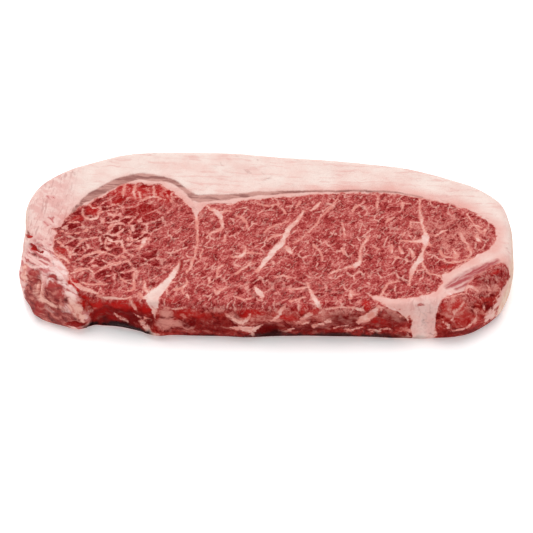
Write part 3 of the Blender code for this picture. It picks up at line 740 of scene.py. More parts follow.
# %% Distances at every point
EDGE_SIGHT = 8.0
VEIN_WOBBLE = ((3.4, 0.4), (1.3, 0.18))
PATCH_WOBBLE = ((5.0, 1.7), (1.9, 0.8))
RAGGED_SIZES = ((3.6, 1.6), (1.7, 1.2))
pieces = [loin, tail, fat]
ends = np.cumsum([len(item.data.vertices) for item in pieces])
points = np.vstack([read_points(item.data) for item in pieces])
piece_of = np.searchsorted(ends, np.arange(len(points)), side="right")
is_fat = piece_of == 2
places = sheet_places(points)
x, y, z = points.T
across, down = places.T
vein_places = wobbled(places, VEIN_WOBBLE, SEEDS["vein"])
patch_places = wobbled(places, PATCH_WOBBLE, SEEDS["patch"])


def chained(edge):
    """The edge as short overlapping strokes of no width, which are quicker to measure."""
    thin = [(x, y, 0.0) for x, y in edge]
    return [thin[i : i + 5] for i in range(0, len(thin) - 1, 4)]


def noise_sum(places, layers, seed):
    """Layers of lattice noise, each with its own size and height."""
    return sum(lattice_noise(places, size, seed + k) * height
               for k, (size, height) in enumerate(layers))


edge_gap, _ = stroke_distance(points[:, :2], chained(LOIN_EDGE) + chained(TAIL_EDGE), EDGE_SIGHT)
loin_veins, loin_width = stroke_distance(vein_places, VEINS)
tail_veins, tail_width = stroke_distance(vein_places, TAIL_VEINS)
lines = {"silver": SILVERSKIN, "purple": PURPLE, "fold": FOLDS, "red": RED_BAND, "ridge": RIDGES}
gaps = {name: stroke_distance(vein_places, strokes)[0] for name, strokes in lines.items()}
ragged = noise_sum(points, RAGGED_SIZES, SEEDS["ragged"])
side_share = smooth_step(THICKNESS - z, 1.2, 5.5)
print("nearest vein is", loin_veins[piece_of == 0].mean().round(2), "mm away on average")

# %% [markdown]
# What shows is settled here for the materials: where meat shows through the fat, how an edge
# between lean and fat is frayed, more so on the sides, and where the skin of the back begins.
# The patches at the hip end would leave a scar behind the steak, so they fade out there.

# %% Numbers for the materials
PATCH_TO_GAP = 7.0
UNSEEN_PUSH = 6.0
EDGE_RAGGED = 0.42
ANY_WIDTH = 9.0
showing = PATCH_TO_GAP * (patch_mask(patch_places, MEAT) - 0.5) + ragged
showing = np.maximum(showing, 0.5 * ragged - gaps["red"])
unseen = smooth_step(-x, 106, 110) * smooth_step(y, -16, -12) * (1 - smooth_step(z, 15, 19))
showing -= UNSEEN_PUSH * unseen
gaps["fold"] += UNSEEN_PUSH * unseen
into_lean = np.where(is_fat, -edge_gap, edge_gap) + EDGE_RAGGED * (1 + side_share) * ragged
lean_veins = np.choose(piece_of, [loin_veins, tail_veins, tail_veins])
lean_width = np.choose(piece_of, [loin_width, tail_width, tail_width])
lean_width = np.where(into_lean < lean_veins, ANY_WIDTH, lean_width)
right = smooth_step(x, 95, 103) * smooth_step(edge_gap, 0.3, 1.5)
rind = np.maximum(smooth_step(y, -34, -20) * smooth_step(edge_gap, 1, 5), right)
rind *= 1 - patch_mask(points[:, :2], HIP)
patches = {"pale": PALE, "flesh": FLESH, "dark": DARK, "wet": WET, "foot": FOOT_SHADOW}
numbers = {name: patch_mask(patch_places, listed) for name, listed in patches.items()}
numbers["pale"] = np.maximum(numbers["pale"], 1 - smooth_step(gaps["ridge"], -2.0, 1.8))
in_fat = np.maximum(0.6 * showing, into_lean)
numbers |= {name: gaps[name] for name in ("silver", "purple", "fold")}
numbers |= {
    "vein": np.where(is_fat, in_fat, np.minimum(lean_veins, into_lean)),
    "width": np.where(is_fat, 0, lean_width),
    "near": edge_gap,
    "coarse": patch_mask(places, COARSE),
    "side": side_share,
    "rind": rind * side_share,
    "hair": np.maximum(smooth_step(-across, 86, 102), patch_mask(places, HAIRY)),
    "across": across,
    "down": down,
}
print("numbers on", len(points), "points:", ", ".join(numbers))

# %% [markdown]
# The cut face is not a plane: lean swells between its fat, each vein is a faint groove, and the
# seam between the two lobes is a deeper one. The sides are lumpy. Everything is moved by a sum
# of such heights along one direction field, so the pieces still meet after it.

# %% Lumps and layers of noise
LUMPS = [
    (-97.4, -26.4, 11, 4.6, -52, 1.1), (-98, -41, 8.5, 6, -20, 1.5), (-107.8, -29, 6, 4, 10, 1),
    (-105.6, -38, 9, 2, -80, -0.9), (-109, -42, 7, 4, 75, 0.6), (-103.8, -36, 6, 1.4, 80, 0.5),
    (-86.6, -50.4, 13, 4.2, -64, 0.8), (-99.6, -48.6, 8, 2, -40, -0.6), (-104.6, -51, 6, 4, 70, 1),
    (-93, -57, 9, 3.6, -10, 0.9), (-74.4, -53, 12, 4.6, 88, -1.7), (-64, -58, 17, 6, -10, -0.9),
    (-68, -46, 15, 2.4, -4, 0.9), (-61, -48.6, 6, 2, -60, 0.7), (-55.4, -50.4, 6, 3, 55, 0.5),
    (-53, -58, 4, 2.6, 70, -1.1), (-47.4, -58, 11, 5, 88, 0.9), (-52.4, -64, 5, 2.6, -20, 0.9),
    (-28, -57, 12, 5, 0, 0.6), (-11.4, -57, 8, 5, -60, 1.1), (2, -61.6, 8, 4.4, 0, -1.6),
    (7, -52.6, 9, 3, 25, 0.9), (10, -61.8, 8, 2, 14, 0.6), (18.4, -54, 6, 2.2, 10, 0.7),
    (26, -58.4, 8, 2.6, 22, 0.7), (33, -50.6, 14, 2.2, 2, 0.8), (34.9, -56.4, 6.5, 4.6, 0, 0.8),
    (29, -55, 6, 1.4, 30, -0.5), (45.6, -55, 6.4, 3, 42, 0.9), (41, -54.4, 6, 1.6, 60, -0.6),
    (52, -60, 7, 3, 0, -0.5), (58, -55.6, 9, 4.6, -20, 0.7), (-110, -19, 12, 2.4, -38, -0.5),
    (-107, -22.6, 12, 2.4, -38, 0.5), (88, -50, 9, 9, 0, 0.7), (101, -41, 12, 3, 55, -0.3),
]
WRINKLES = ((2.2, 0.22), (1.2, 0.10))
TOP_NOISE = ((9.0, 0.20), (3.6, 0.14), (1.6, 0.07))
SIDE_NOISE = ((11.0, 0.55), (4.5, 0.32), (2.0, 0.12))
SIDE_STRETCH = (0.7, 1.0, 1.6)
FAT_NOISE = ((16.0, 0.22), (5.0, 0.08), (1.8, 0.03))


def bell_sum(places, bells):
    """Adds an elliptic bell for each row: x, y, half length, half width, turn, height."""
    total = np.zeros(len(places))
    for *ellipse, rise in bells:
        total += rise * np.exp(-1.6 * ellipse_share(places, *ellipse) ** 2)
    return total


def groove(gap, reach):
    """1 on a stroke and an eased fall to 0 at that reach outside its edge."""
    return 1 - smooth_step(gap, -0.4, reach)


print("lumps from", min(row[-1] for row in LUMPS), "to", max(row[-1] for row in LUMPS), "mm")

# %% [markdown]
# The direction field points up on the cut face and outward on the sides, and turns smoothly
# over the shoulder. The height is the sum of noise, grooves, lumps, the rolled flap and the
# wrinkles of the membrane, and it fades out at the table so that the steak keeps lying flat.

# %% Fine relief
RELIEF_AXES = np.array([119.0, 53.0])
SHOULDER = (18.5, 23.0)
VEIN_GROOVE = 0.12
SEAM_GROOVE = 0.35
EDGE_GROOVE = 0.22
BAND_GROOVE = 0.18
FOLD_GROOVE = 1.0
LOBULE_RISE = 0.35
FLAP_RISE = 1.2
outward_xy = points[:, :2] ** 3 / RELIEF_AXES**4
outward_xy /= np.maximum(np.linalg.norm(outward_xy, axis=1), 1e-12)[:, None]
upness = smooth_step(z, *SHOULDER)
direction = np.column_stack([outward_xy * (1 - upness)[:, None], upness])
direction /= np.maximum(np.linalg.norm(direction, axis=1), 1e-6)[:, None]
lean_share = np.clip(0.5 + np.where(is_fat, -edge_gap, edge_gap) / 1.6, 0, 1)
lean_share = np.maximum(lean_share, np.where(is_fat, smooth_step(showing, -1, 1), 0))
seam, _ = stroke_distance(places, [SEAM])
top_height = noise_sum(points, TOP_NOISE, SEEDS["top"]) * lean_share
top_height += noise_sum(points, FAT_NOISE, SEEDS["fat"]) * (1 - lean_share)
side_height = noise_sum(points * SIDE_STRETCH, SIDE_NOISE, SEEDS["side"])
side_height *= 0.35 + 0.65 * lean_share
height = top_height * upness + side_height * (1 - upness)
height -= VEIN_GROOVE * groove(np.minimum(loin_veins, tail_veins), 0.5) * lean_share
height -= SEAM_GROOVE * groove(seam, 0.8) + EDGE_GROOVE * groove(edge_gap - 0.3, 0.9)
height -= BAND_GROOVE * groove(gaps["silver"], 0.6) + FOLD_GROOVE * groove(gaps["fold"], 1.0)
height += LOBULE_RISE * numbers["wet"] * numbers["coarse"] * upness
height += bell_sum(places, LUMPS)
flap_line = np.array(FLAP_EDGE)[::-1]
flap_side = np.interp(down, flap_line[:, 1], flap_line[:, 0]) - across
flap = smooth_step(flap_side, -0.2, 1.2) * (1 - smooth_step(flap_side, 3, 13))
height += FLAP_RISE * flap * smooth_step(-down, 40, 46)
turned = np.column_stack([places @ (0.8, -0.6) * 0.2, places @ (0.6, 0.8), z * 0.6])
skin = numbers["dark"] * is_fat * (x < -60)
height += noise_sum(turned, WRINKLES, SEEDS["wrinkle"]) * skin
height *= smooth_step(z, 0.3, 2.5)
points += direction * height[:, None]
print("relief from", height.min().round(2), "to", height.max().round(2), "mm")

# %% [markdown]
# Each piece takes back its own share of the points, with the numbers as attributes beside
# them. Shading is smooth except where a cut wall meets the outside.

# %% Give the pieces their numbers
SHARP_DEGREES = 55
for item, first, last in zip(pieces, [0, *ends[:-1]], ends):
    mesh = item.data
    own = ((points[first:last] - PLAN_MIDDLE) * MM).astype(np.float32)
    mesh.vertices.foreach_set("co", own.ravel())
    for name, values in numbers.items():
        layer = mesh.attributes.new(name, "FLOAT", "POINT")
        layer.data.foreach_set("value", values[first:last].astype(np.float32))
    mesh.polygons.foreach_set("use_smooth", np.ones(len(mesh.polygons), bool))
    mesh.update()
    mesh.set_sharp_from_angle(angle=np.radians(SHARP_DEGREES))
    print(item.name, np.ptp(own, axis=0).round(4))

# %% [markdown]
# The materials share their patterns, so these are node groups. Each gives only a colour or a
# number; the surface itself stays in the material. Sizes are millimetres on the object, because
# the patterns are read at object coordinates. A small class keeps the recipes short.

# %% Node helpers
LEVEL_LIGHT = 1.08


def tint(red, green, blue):
    """The colour of a surface that shows as this display colour, 0 to 255, when it lies level
    in the light of this scene."""
    value = np.array([red, green, blue]) / 255
    linear = np.where(value > 0.04045, ((value + 0.055) / 1.055) ** 2.4, value / 12.92)
    return (*(linear / LEVEL_LIGHT).tolist(), 1.0)


class Nodes:
    """Adds nodes to one tree. Each call links or sets the inputs and returns an output."""

    def __init__(self, tree):
        self.tree = tree

    def put(self, kind, inputs, output=0, **settings):
        node = self.tree.nodes.new("ShaderNode" + kind)
        for name, value in settings.items():
            setattr(node, name, value)
        for name, value in inputs.items():
            if isinstance(value, bpy.types.NodeSocket):
                self.tree.links.new(value, node.inputs[name])
            else:
                node.inputs[name].default_value = value
        return node.outputs[output]

    def math(self, operation, a, b=0.0):
        return self.put("Math", {0: a, 1: b}, operation=operation)

    def times(self, *values):
        return reduce(lambda a, b: self.math("MULTIPLY", a, b), values)

    def plus(self, *values):
        return reduce(lambda a, b: self.math("ADD", a, b), values)

    def most(self, *values):
        return reduce(lambda a, b: self.math("MAXIMUM", a, b), values)

    def minus(self, a, b):
        return self.math("SUBTRACT", a, b)

    def step(self, value, low, high, start=0.0, end=1.0):
        inputs = {"Value": value, "From Min": low, "From Max": high}
        inputs |= {"To Min": start, "To Max": end}
        return self.put("MapRange", inputs, interpolation_type="SMOOTHSTEP")

    def between(self, share, a, b):
        return self.put("Mix", {0: share, 2: a, 3: b}, data_type="FLOAT")

    def mix(self, share, a, b):
        return self.put("Mix", {0: share, 6: a, 7: b}, output=2, data_type="RGBA")

    def shade(self, value, low, high, first, second):
        """The first display colour up to low, the second from high on."""
        return self.mix(self.step(value, low, high), tint(*first), tint(*second))

    def number(self, name):
        return self.put("Attribute", {}, output=2, attribute_name=name)

    def give(self, **results):
        """Links each result to the group output of that name."""
        for label, value in results.items():
            self.tree.links.new(value, self.out[label])


print("level white shows as", [round(share, 2) for share in tint(255, 255, 255)[:3]])

# %% [markdown]
# Every pattern needs a place to be read at, and a straight lattice shows in none of them once
# the places are turned along the meat, stretched, and pushed about by a slower noise. Folds of
# membrane run on over the shoulder, so they are read on the sheet and not in space.

# %% Places and noise in a material


class Patterns(Nodes):
    """Nodes that give places, and noise at them. Sizes and reaches are in millimetres."""

    def laid(self, at, stretch, turn):
        """Places turned about the upright axis and then stretched."""
        angle = np.radians(turn)
        at = self.put("VectorRotate", {"Vector": at, "Angle": angle}, rotation_type="Z_AXIS")
        return self.put("VectorMath", {0: at, 1: stretch}, operation="MULTIPLY")

    def place(self, stretch=(1.0, 1.0, 1.0), turn=0.0):
        """Object coordinates."""
        return self.laid(self.put("TexCoord", {}, output=3), stretch, turn)

    def sheet(self, stretch, turn=0.0):
        """Sheet coordinates."""
        at = self.put("CombineXYZ", {0: self.number("across"), 1: self.number("down")})
        at = self.put("VectorMath", {0: at, "Scale": MM}, operation="SCALE")
        return self.laid(at, (*stretch, 1.0), turn)

    def noise(self, at, size, detail=2.0, rough=0.5, output=0):
        inputs = {"Vector": at, "Scale": 1 / (size * MM), "Detail": detail, "Roughness": rough}
        return self.put("TexNoise", inputs, output)

    def pushed(self, at, size, reach):
        """Places pushed about by up to half of reach."""
        push = self.noise(self.place(), size, output=1)
        push = self.put("VectorMath", {0: push, 1: (0.5, 0.5, 0.5)}, operation="SUBTRACT")
        push = self.put("VectorMath", {0: push, "Scale": reach * MM}, operation="SCALE")
        return self.put("VectorMath", {0: at, 1: push}, operation="ADD")

    def warped(self, size, reach, stretch=(1.0, 1.0, 1.0), turn=0.0):
        return self.pushed(self.place(stretch, turn), size, reach)

    def cells(self, size, turn, stretch, warp_size, warp_reach):
        """Cells of this size seen from above: the distance to the nearest border between two,
        and a random number for each."""
        at = {"Vector": self.warped(warp_size, warp_reach, (stretch, 1.0, 1.0), turn),
              "Scale": 1 / (size * MM)}
        border = self.put("TexVoronoi", at, voronoi_dimensions="2D", feature="DISTANCE_TO_EDGE")
        own = self.put("TexVoronoi", at, output=1, voronoi_dimensions="2D", feature="F1")
        return border, self.put("SeparateColor", {"Color": own})


def new_group(name, inputs, outputs):
    """An empty group with number inputs. Gives its nodes and its inputs."""
    tree = bpy.data.node_groups.new(name, "ShaderNodeTree")
    for label in inputs:
        tree.interface.new_socket(label, in_out="INPUT", socket_type="NodeSocketFloat")
    for label in outputs:
        kind = "NodeSocketColor" if label == "Colour" else "NodeSocketFloat"
        tree.interface.new_socket(label, in_out="OUTPUT", socket_type=kind)
    nodes = Patterns(tree)
    nodes.out = tree.nodes.new("NodeGroupOutput").inputs
    print("group", name, "gives", outputs)
    return nodes, tree.nodes.new("NodeGroupInput").outputs


# %% [markdown]
# The cut goes across the muscle fibres, so the lean shows their ends: a fine grain of dark and
# light specks. Streaks follow the bundles, which rise to the right on the cut face and run
# along the length on the sides.

# %% Grain of the lean
nodes, given = new_group("Fibre grain", ["Side"], ["Speck", "Streak", "Cloud"])
speck = nodes.step(nodes.noise(nodes.place(), 0.9, 2.0, 0.8), 0.36, 0.64)
rising = nodes.noise(nodes.warped(5.0, 2.5, (0.5, 1.0, 0.7), -50), 1.6, 2.0, 0.6)
lying = nodes.noise(nodes.pushed(nodes.sheet((0.3, 1.0), 12), 7.0, 7.0), 2.6, 3.0, 0.6)
streak = nodes.step(nodes.between(given["Side"], rising, lying), 0.34, 0.68)
cloud = nodes.step(nodes.noise(nodes.place(), 4.6, 3.0, 0.6), 0.3, 0.7)
nodes.give(Speck=speck, Streak=streak, Cloud=cloud)

# %% [markdown]
# Fine marbling is a net of fat between the bundles. The borders in a warped pattern of cells
# give such a net, and a slow noise hides most of it, so that what stays are short branched
# threads. In the coarse lobe at the hip end the net is whole, and each cell is a dark lobule.

# %% Fine marbling
nodes, given = new_group("Fine marbling", ["Coarse", "Side"], ["Thread", "Lobule"])
patchy = nodes.noise(nodes.place(), 5.5, 2.0, 0.6)
border, _ = nodes.cells(4.6, -50, 0.6, 3.0, 2.4)
net = nodes.times(nodes.step(border, 0.13, 0.0), nodes.step(patchy, 0.48, 0.63))
contour = nodes.noise(nodes.warped(4.0, 3.0, (0.5, 1.0, 0.7), -50), 4.2, 1.0)
contour = nodes.step(nodes.math("ABSOLUTE", nodes.minus(contour, 0.5)), 0.034, 0.0)
contour = nodes.times(contour, nodes.step(patchy, 0.56, 0.42), 0.55)
fleck = nodes.noise(nodes.warped(2.0, 1.6, (0.5, 1.0, 0.8), -50), 1.5, 2.0, 0.6)
fleck = nodes.step(fleck, 0.56, 0.72, 0.0, 0.75)
main = nodes.most(net, contour, fleck)

border, own = nodes.cells(5.2, -24, 0.68, 2.2, 2.2)
thick = nodes.step(nodes.noise(nodes.place(), 4.0), 0.36, 0.66, -0.04, 0.12)
inside = nodes.minus(border, thick)
inner, _ = nodes.cells(2.3, -24, 0.66, 1.6, 1.2)
inner = nodes.times(nodes.step(inner, 0.11, 0.0), nodes.step(own, 0.3, 0.6, 0.0, 0.4))
lobe = nodes.most(nodes.step(inside, 0.09, -0.08), inner, nodes.times(fleck, 0.35))
in_lobe = nodes.step(given["Coarse"], 0.3, 0.8)
lobule = nodes.times(nodes.step(inside, 0.0, 0.2), nodes.step(own, 0.9, 0.2, 0.3, 1.1), in_lobe)
plain = nodes.minus(1.0, nodes.times(given["Side"], 0.85))
thread = nodes.between(in_lobe, main, lobe)
nodes.give(Thread=nodes.times(thread, plain), Lobule=nodes.times(lobule, plain))

# %% [markdown]
# Lean is not one red. The grain sets how light it is, a slow cloud changes it from bundle to bundle, the
# sides are darker, partly a deeper red and partly painted shade, the dark patches add deep red and
# painted shade, and blood lies brighter in a few hollows.

# %% Colour of the lean
nodes, given = new_group("Lean colour", ["Side", "Pale", "Dark", "Wet", "Lobule", "Thread"],
                         ["Colour", "Grain"])
grain = nodes.put("Group", {"Side": given["Side"]}, node_tree=bpy.data.node_groups["Fibre grain"])
speck, streak, cloud = grain.node.outputs
tone = nodes.between(nodes.between(given["Side"], 0.6, 0.2), streak, speck)
tone = nodes.plus(tone, nodes.times(nodes.minus(cloud, 0.55), 0.6))
tone = nodes.minus(tone, nodes.times(given["Lobule"], 0.52))
colour = nodes.shade(tone, -0.2, 0.5, (124, 10, 12), (180, 68, 66))
colour = nodes.mix(nodes.step(tone, 0.45, 1.1), colour, tint(222, 132, 124))
# The sides take a darker copy of the lean: partly a deeper red and partly painted shade on the sides.
side = nodes.shade(tone, -0.1, 0.62, (114, 2, 4), (168, 40, 34))
side = nodes.mix(nodes.step(tone, 0.6, 1.1), side, tint(210, 116, 104))
colour = nodes.mix(given["Side"], colour, side)
thread = nodes.times(given["Thread"], nodes.step(speck, -1.0, 0.8), 0.9)
colour = nodes.mix(thread, colour, tint(248, 182, 168))
pale = nodes.step(nodes.plus(given["Pale"], nodes.times(tone, 0.6)), 0.5, 1.3)
pale = nodes.times(pale, nodes.step(given["Pale"], 0.1, 0.8))
colour = nodes.mix(pale, colour, tint(222, 144, 132))
# Painted shade: the dark patches turn the lean a deep red, partly its own colour and partly shade in
# hollows, gashes and low on the front.
dark = nodes.times(given["Dark"], nodes.step(tone, 1.4, 0.5, 0.75, 0.97))
colour = nodes.mix(dark, colour, tint(108, 2, 3))
wet = nodes.times(given["Wet"], nodes.step(tone, 1.2, 0.2, 0.2, 0.9))
nodes.give(Colour=nodes.mix(wet, colour, tint(192, 24, 20)), Grain=tone)

# %% [markdown]
# The fat cap is cream on its outer edge and pinker by the lean, with faint streaks along it.
# Towards the hip end upright hairs of darker fat take their place.

# %% Colour of the fat cap
FAT_NUMBERS = ["Side", "Pale", "Dark", "Near", "Silver", "Purple", "Flesh", "Rind", "Hair", "Wet"]
nodes, given = new_group("Fat colour", FAT_NUMBERS, ["Colour", "Streak"])
along = nodes.noise(nodes.warped(9.0, 3.0, (0.14, 1.0, 1.0), 4), 2.2, 3.0, 0.6)
cloud = nodes.noise(nodes.place(), 11.0, 3.0)
mottle = nodes.noise(nodes.warped(6.0, 5.0, (0.6, 1.0, 0.8), 35), 4.2, 4.0, 0.62)
upright = nodes.noise(nodes.warped(8.0, 2.0, (1.0, 0.12, 0.3), 8), 0.9, 3.0, 0.65)
pink = nodes.times(nodes.minus(cloud, 0.45), 1.3)
pink = nodes.plus(nodes.step(given["Near"], 10.0, 0.0, 0.0, 0.85), pink)
colour = nodes.mix(pink, tint(253, 231, 222), tint(242, 182, 172))
streaks = nodes.step(along, 0.50, 0.70, 0.0, 0.55)
streaks = nodes.times(streaks, nodes.minus(1.0, given["Hair"]))
colour = nodes.mix(streaks, colour, tint(238, 180, 172))
hairy = nodes.shade(mottle, 0.38, 0.62, (234, 168, 162), (252, 214, 206))
hairy = nodes.mix(nodes.step(upright, 0.50, 0.66, 0.0, 0.7), hairy, tint(190, 112, 108))
colour = nodes.mix(nodes.times(given["Hair"], 0.7), colour, hairy)

# %% [markdown]
# Over the hip end lies a thin membrane, pink and wrinkled, with painted shade along its creases, and in
# places the dark muscle under it shows through. The outer skin behind is a little yellow. Where the
# membrane is bunched up into a ridge it is pale again. Pale parts are painted lighter on the cut face and
# painted darker on the sides, as light and shade.

# %% Membrane, muscle under it and rind
wrinkle = nodes.noise(nodes.pushed(nodes.sheet((0.16, 1.0), 44), 7.0, 3.0), 1.9)
fibre = nodes.noise(nodes.pushed(nodes.sheet((0.45, 1.0), 36), 4.0, 4.0), 2.2, 4.0, 0.6)
membrane = nodes.shade(wrinkle, 0.40, 0.60, (212, 124, 122), (248, 200, 192))
# Painted shade: darker pink lines along the membrane's wrinkle creases.
crease_shade = nodes.step(nodes.math("ABSOLUTE", nodes.minus(wrinkle, 0.44)), 0.035, 0.0)
crease_shade = nodes.times(crease_shade, nodes.step(mottle, 0.60, 0.42, 0.2, 0.85))
membrane = nodes.mix(crease_shade, membrane, tint(176, 70, 70))
colour = nodes.mix(nodes.step(given["Dark"], 0.05, 0.5), colour, membrane)
muscle = nodes.shade(fibre, 0.34, 0.50, (104, 26, 28), (158, 62, 58))
muscle = nodes.mix(nodes.step(fibre, 0.50, 0.66), muscle, tint(210, 124, 112))
wet = nodes.times(given["Wet"], nodes.step(fibre, 0.66, 0.44, 0.3, 0.9))
muscle = nodes.mix(wet, muscle, tint(180, 50, 48))
under = nodes.plus(given["Flesh"], nodes.times(nodes.minus(mottle, 0.5), 1.3))
colour = nodes.mix(nodes.step(under, 0.12, 0.62, 0.0, 0.95), colour, muscle)
skin = nodes.shade(mottle, 0.36, 0.62, (236, 190, 166), (246, 218, 198))
skin = nodes.mix(nodes.step(upright, 0.54, 0.70, 0.0, 0.5), skin, tint(216, 158, 140))
colour = nodes.mix(nodes.times(given["Rind"], 0.85), colour, skin)
pale = nodes.plus(given["Pale"], nodes.times(nodes.minus(fibre, 0.5), 1.6))
pale = nodes.times(nodes.step(pale, 0.1, 0.9, 0.0, 0.96), nodes.step(given["Pale"], 0.0, 0.3))
# Painted light and shade: pale membrane is lighter on the cut face and darker on the sides.
pale_painted_lit = nodes.shade(fibre, 0.38, 0.58, (240, 178, 172), (254, 220, 214))
pale_painted_shaded = nodes.shade(fibre, 0.36, 0.58, (216, 128, 116), (250, 190, 174))
colour = nodes.mix(pale, colour, nodes.mix(given["Side"], pale_painted_lit, pale_painted_shaded))
print("fat colour so far:", len(nodes.tree.nodes), "nodes")

# %% [markdown]
# Two thin things still lie in the fat: reddish strands in the seam by the small muscle, and the
# grey-brown band of silverskin, whose edge is clean in the middle and frayed at the hip end.

# %% Strands and silverskin
strands = nodes.noise(nodes.warped(5.0, 1.5, (0.14, 1.0, 0.6), -32), 1.2, 2.0, 0.6)
purple = nodes.step(nodes.plus(given["Purple"], nodes.times(mottle, 2.0)), 2.9, 0.3)
purple = nodes.times(purple, nodes.step(strands, 0.30, 0.56, 0.45, 0.95))
colour = nodes.mix(purple, colour, tint(180, 74, 78))
frayed = nodes.times(nodes.minus(upright, 0.5), nodes.step(given["Hair"], 0.0, 0.5, 0.7, 5.0))
edge = nodes.plus(given["Silver"], frayed)
grain = nodes.between(given["Hair"], along, upright)
band = nodes.shade(grain, 0.38, 0.60, (150, 92, 86), (208, 152, 142))
colour = nodes.mix(nodes.step(edge, 0.7, -0.45, 0.0, 0.92), colour, band)
nodes.give(Colour=colour, Streak=nodes.plus(along, nodes.times(wrinkle, given["Dark"])))

# %% [markdown]
# One recipe serves the three pieces: lean and fat colours, and a mask that says which shows.
# A vein is creamy at its core and has a pink rim where the fat is thin over lean, so the
# distance to it, ruffled by noise, sets both. Lean is wet, so it is smoother than the fat.

# %% Materials
LEAN_ROUGHNESS = 0.38
NO_GLARE = 0.02


def meat_material(name, marbled, fat_roughness):
    """Principled meat. Marbled says how much of the fine net shows."""
    material = bpy.data.materials.new(name)
    material.use_nodes = True
    material.node_tree.nodes.clear()
    nodes = Patterns(material.node_tree)
    read = {number.capitalize(): nodes.number(number) for number in numbers}

    def group(title, **given):
        """A group's outputs. Its inputs come from given, or else from the numbers."""
        tree = bpy.data.node_groups[title]
        labels = [item.name for item in tree.interface.items_tree if item.in_out == "INPUT"]
        inputs = {label: (read | given)[label] for label in labels}
        return nodes.put("Group", inputs, node_tree=tree).node.outputs

    net = group("Fine marbling")
    thread = nodes.times(net["Thread"], marbled)
    lean = group("Lean colour", Lobule=net["Lobule"], Thread=thread)
    cap = group("Fat colour")
    slow = nodes.minus(nodes.noise(nodes.place(), 3.0), 0.5)
    quick = nodes.minus(nodes.noise(nodes.place(), 1.0, 2.0, 0.6), 0.5)
    torn = nodes.most(nodes.step(read["Coarse"], 0.4, 0.9), nodes.step(read["Side"], 0.1, 0.7))
    breaks = nodes.minus(nodes.noise(nodes.place(), 1.9, 2.0, 0.6), 0.42)
    breaks = nodes.times(breaks, torn, 2.6 * marbled)
    depth = nodes.plus(read["Vein"], nodes.times(quick, 1.6), nodes.times(slow, 1.2), breaks)
    if marbled == 0:
        depth = nodes.plus(depth, nodes.times(slow, read["Dark"], 6.0))

    rim = nodes.step(depth, 0.7, -0.2, 0.0, 0.8)
    colour = nodes.mix(rim, lean["Colour"], tint(232, 142, 130))
    core = nodes.step(depth, 0.3, -0.45)
    thin = nodes.most(nodes.step(read["Width"], 3.4, 0.8, 0.25, 1.0), nodes.times(torn, 0.8))
    peach = nodes.shade(slow, -0.12, 0.12, (230, 146, 132), (248, 192, 178))
    creamy = nodes.mix(nodes.times(thin, marbled), cap["Colour"], peach)
    colour = nodes.mix(core, colour, creamy)
    # Folds and gashes turn a deep red: partly the red meat inside, partly painted crease shade.
    colour = nodes.mix(nodes.step(read["Fold"], 0.7, -0.3, 0.0, 0.75), colour, tint(150, 22, 18))
    # Painted shadow: the foot patches turn the base near black where the meat meets the table.
    colour = nodes.mix(nodes.times(read["Foot"], 0.92), colour, tint(40, 2, 3))

    relief = nodes.plus(nodes.times(lean["Grain"], 0.8), nodes.times(core, -0.2),
                        nodes.times(cap["Streak"], 0.5))
    normal = nodes.put("Bump", {"Strength": 0.7, "Distance": 0.3 * MM, "Height": relief})
    rough = nodes.step(core, 0.0, 1.0, LEAN_ROUGHNESS, fat_roughness)
    rough = nodes.plus(rough, nodes.times(slow, 0.25))
    surface = nodes.put("BsdfPrincipled", {"Base Color": colour, "Roughness": rough,
                                           "Normal": normal, "Specular IOR Level": NO_GLARE})
    end = material.node_tree.nodes.new("ShaderNodeOutputMaterial")
    material.node_tree.links.new(surface, end.inputs["Surface"])
    return material


dress = {
    loin: ("loin_muscle", "lean_beef", meat_material("Loin meat", 1.0, 0.46)),
    tail: ("tail_muscle", "lean_beef", meat_material("Tail meat", 0.8, 0.46)),
    fat: ("fat_cap", "beef_fat", meat_material("Cap fat", 0.0, 0.50)),
}
for item, (node, slot, material) in dress.items():
    item.data.materials.clear()
    item.data.materials.append(material)
    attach(item, "root")
    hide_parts(node)
print("dressed:", [item.name for item in dress])

# %% [markdown]
# The photograph is a plain studio picture: a white table that fills the frame and takes no
# shadow but a thin dark line where the meat meets it. A faint glow burns the table out.

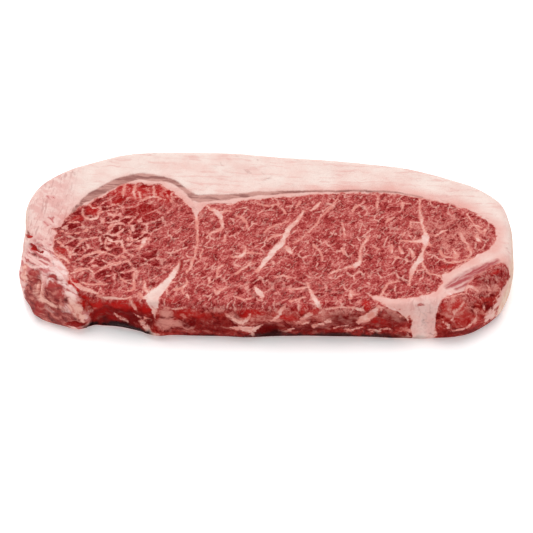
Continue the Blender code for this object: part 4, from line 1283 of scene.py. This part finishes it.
# %% Table
TABLE_SIDE = 6.0
TABLE_TONE = (0.98, 0.98, 0.98, 1.0)
TABLE_ROUGHNESS = 0.9
TABLE_GLOW = 0.27
WHITE = (1.0, 1.0, 1.0, 1.0)
half = TABLE_SIDE / 2
mesh = bpy.data.meshes.new("table")
mesh.from_pydata([(-half, -half, 0), (half, -half, 0), (half, half, 0), (-half, half, 0)], [],
                 [(0, 1, 2, 3)])
table = add_object("table", mesh)
white = bpy.data.materials.new("White table")
white.use_nodes = True
paint = white.node_tree.nodes["Principled BSDF"].inputs
paint["Base Color"].default_value = TABLE_TONE
paint["Roughness"].default_value = TABLE_ROUGHNESS
paint["Specular IOR Level"].default_value = 0.0
paint["Emission Color"].default_value = WHITE
paint["Emission Strength"].default_value = TABLE_GLOW
table.data.materials.append(white)
print("table:", TABLE_SIDE, "m wide")

# %% [markdown]
# The light is soft and comes from above, a little from behind. A broad sun shapes the meat, a
# narrow and lower one gives the wet lean its sheen, and a white room fills the sides.

# %% Light
SOFT_KEY = {"strength": 1.55, "spread": 40, "azimuth": 20, "rise": 80}
GLINT = {"strength": 0.5, "spread": 8, "azimuth": 14, "rise": 50}
ROOM_STRENGTH = 0.48


def sun(name, strength, spread, azimuth, rise):
    """A sun seen at this azimuth, from +Y towards -X, and height above the table."""
    light = bpy.data.lights.new(name, "SUN")
    light.energy, light.angle = strength, np.radians(spread)
    item = add_object(name, light)
    a, e = np.radians(azimuth), np.radians(rise)
    toward = Vector((-np.sin(a) * np.cos(e), np.cos(a) * np.cos(e), np.sin(e)))
    item.rotation_euler = toward.to_track_quat("Z", "Y").to_euler()
    return item


suns = [sun("soft key", **SOFT_KEY), sun("glint", **GLINT)]
world = bpy.data.worlds.new("studio")
world.use_nodes = True
world.node_tree.nodes["Background"].inputs["Color"].default_value = WHITE
world.node_tree.nodes["Background"].inputs["Strength"].default_value = ROOM_STRENGTH
bpy.context.scene.world = world
bpy.context.scene.view_settings.view_transform = "Standard"
print("suns:", [item.name for item in suns])

# %% [markdown]
# The camera stands where the plan was read from. It looks down at 48 degrees and a little more,
# because its aim lies above the picture's middle.

# %% Camera
SENSOR_WIDTH = 36.0
camera_data = bpy.data.cameras.new("camera")
camera_data.sensor_width = SENSOR_WIDTH
camera_data.lens = FOCAL_PIXELS / IMAGE_SIDE * SENSOR_WIDTH
camera = add_object("camera", camera_data)
camera.location = (camera_at - PLAN_MIDDLE) * MM
lower = np.arctan((IMAGE_SIDE / 2 - AIM_PIXEL_ROW) / FOCAL_PIXELS)
camera.rotation_euler = (np.pi / 2 - CAMERA_RISE - lower, 0.0, 0.0)
bpy.context.scene.camera = camera
print("lens", round(camera_data.lens, 2), "mm")
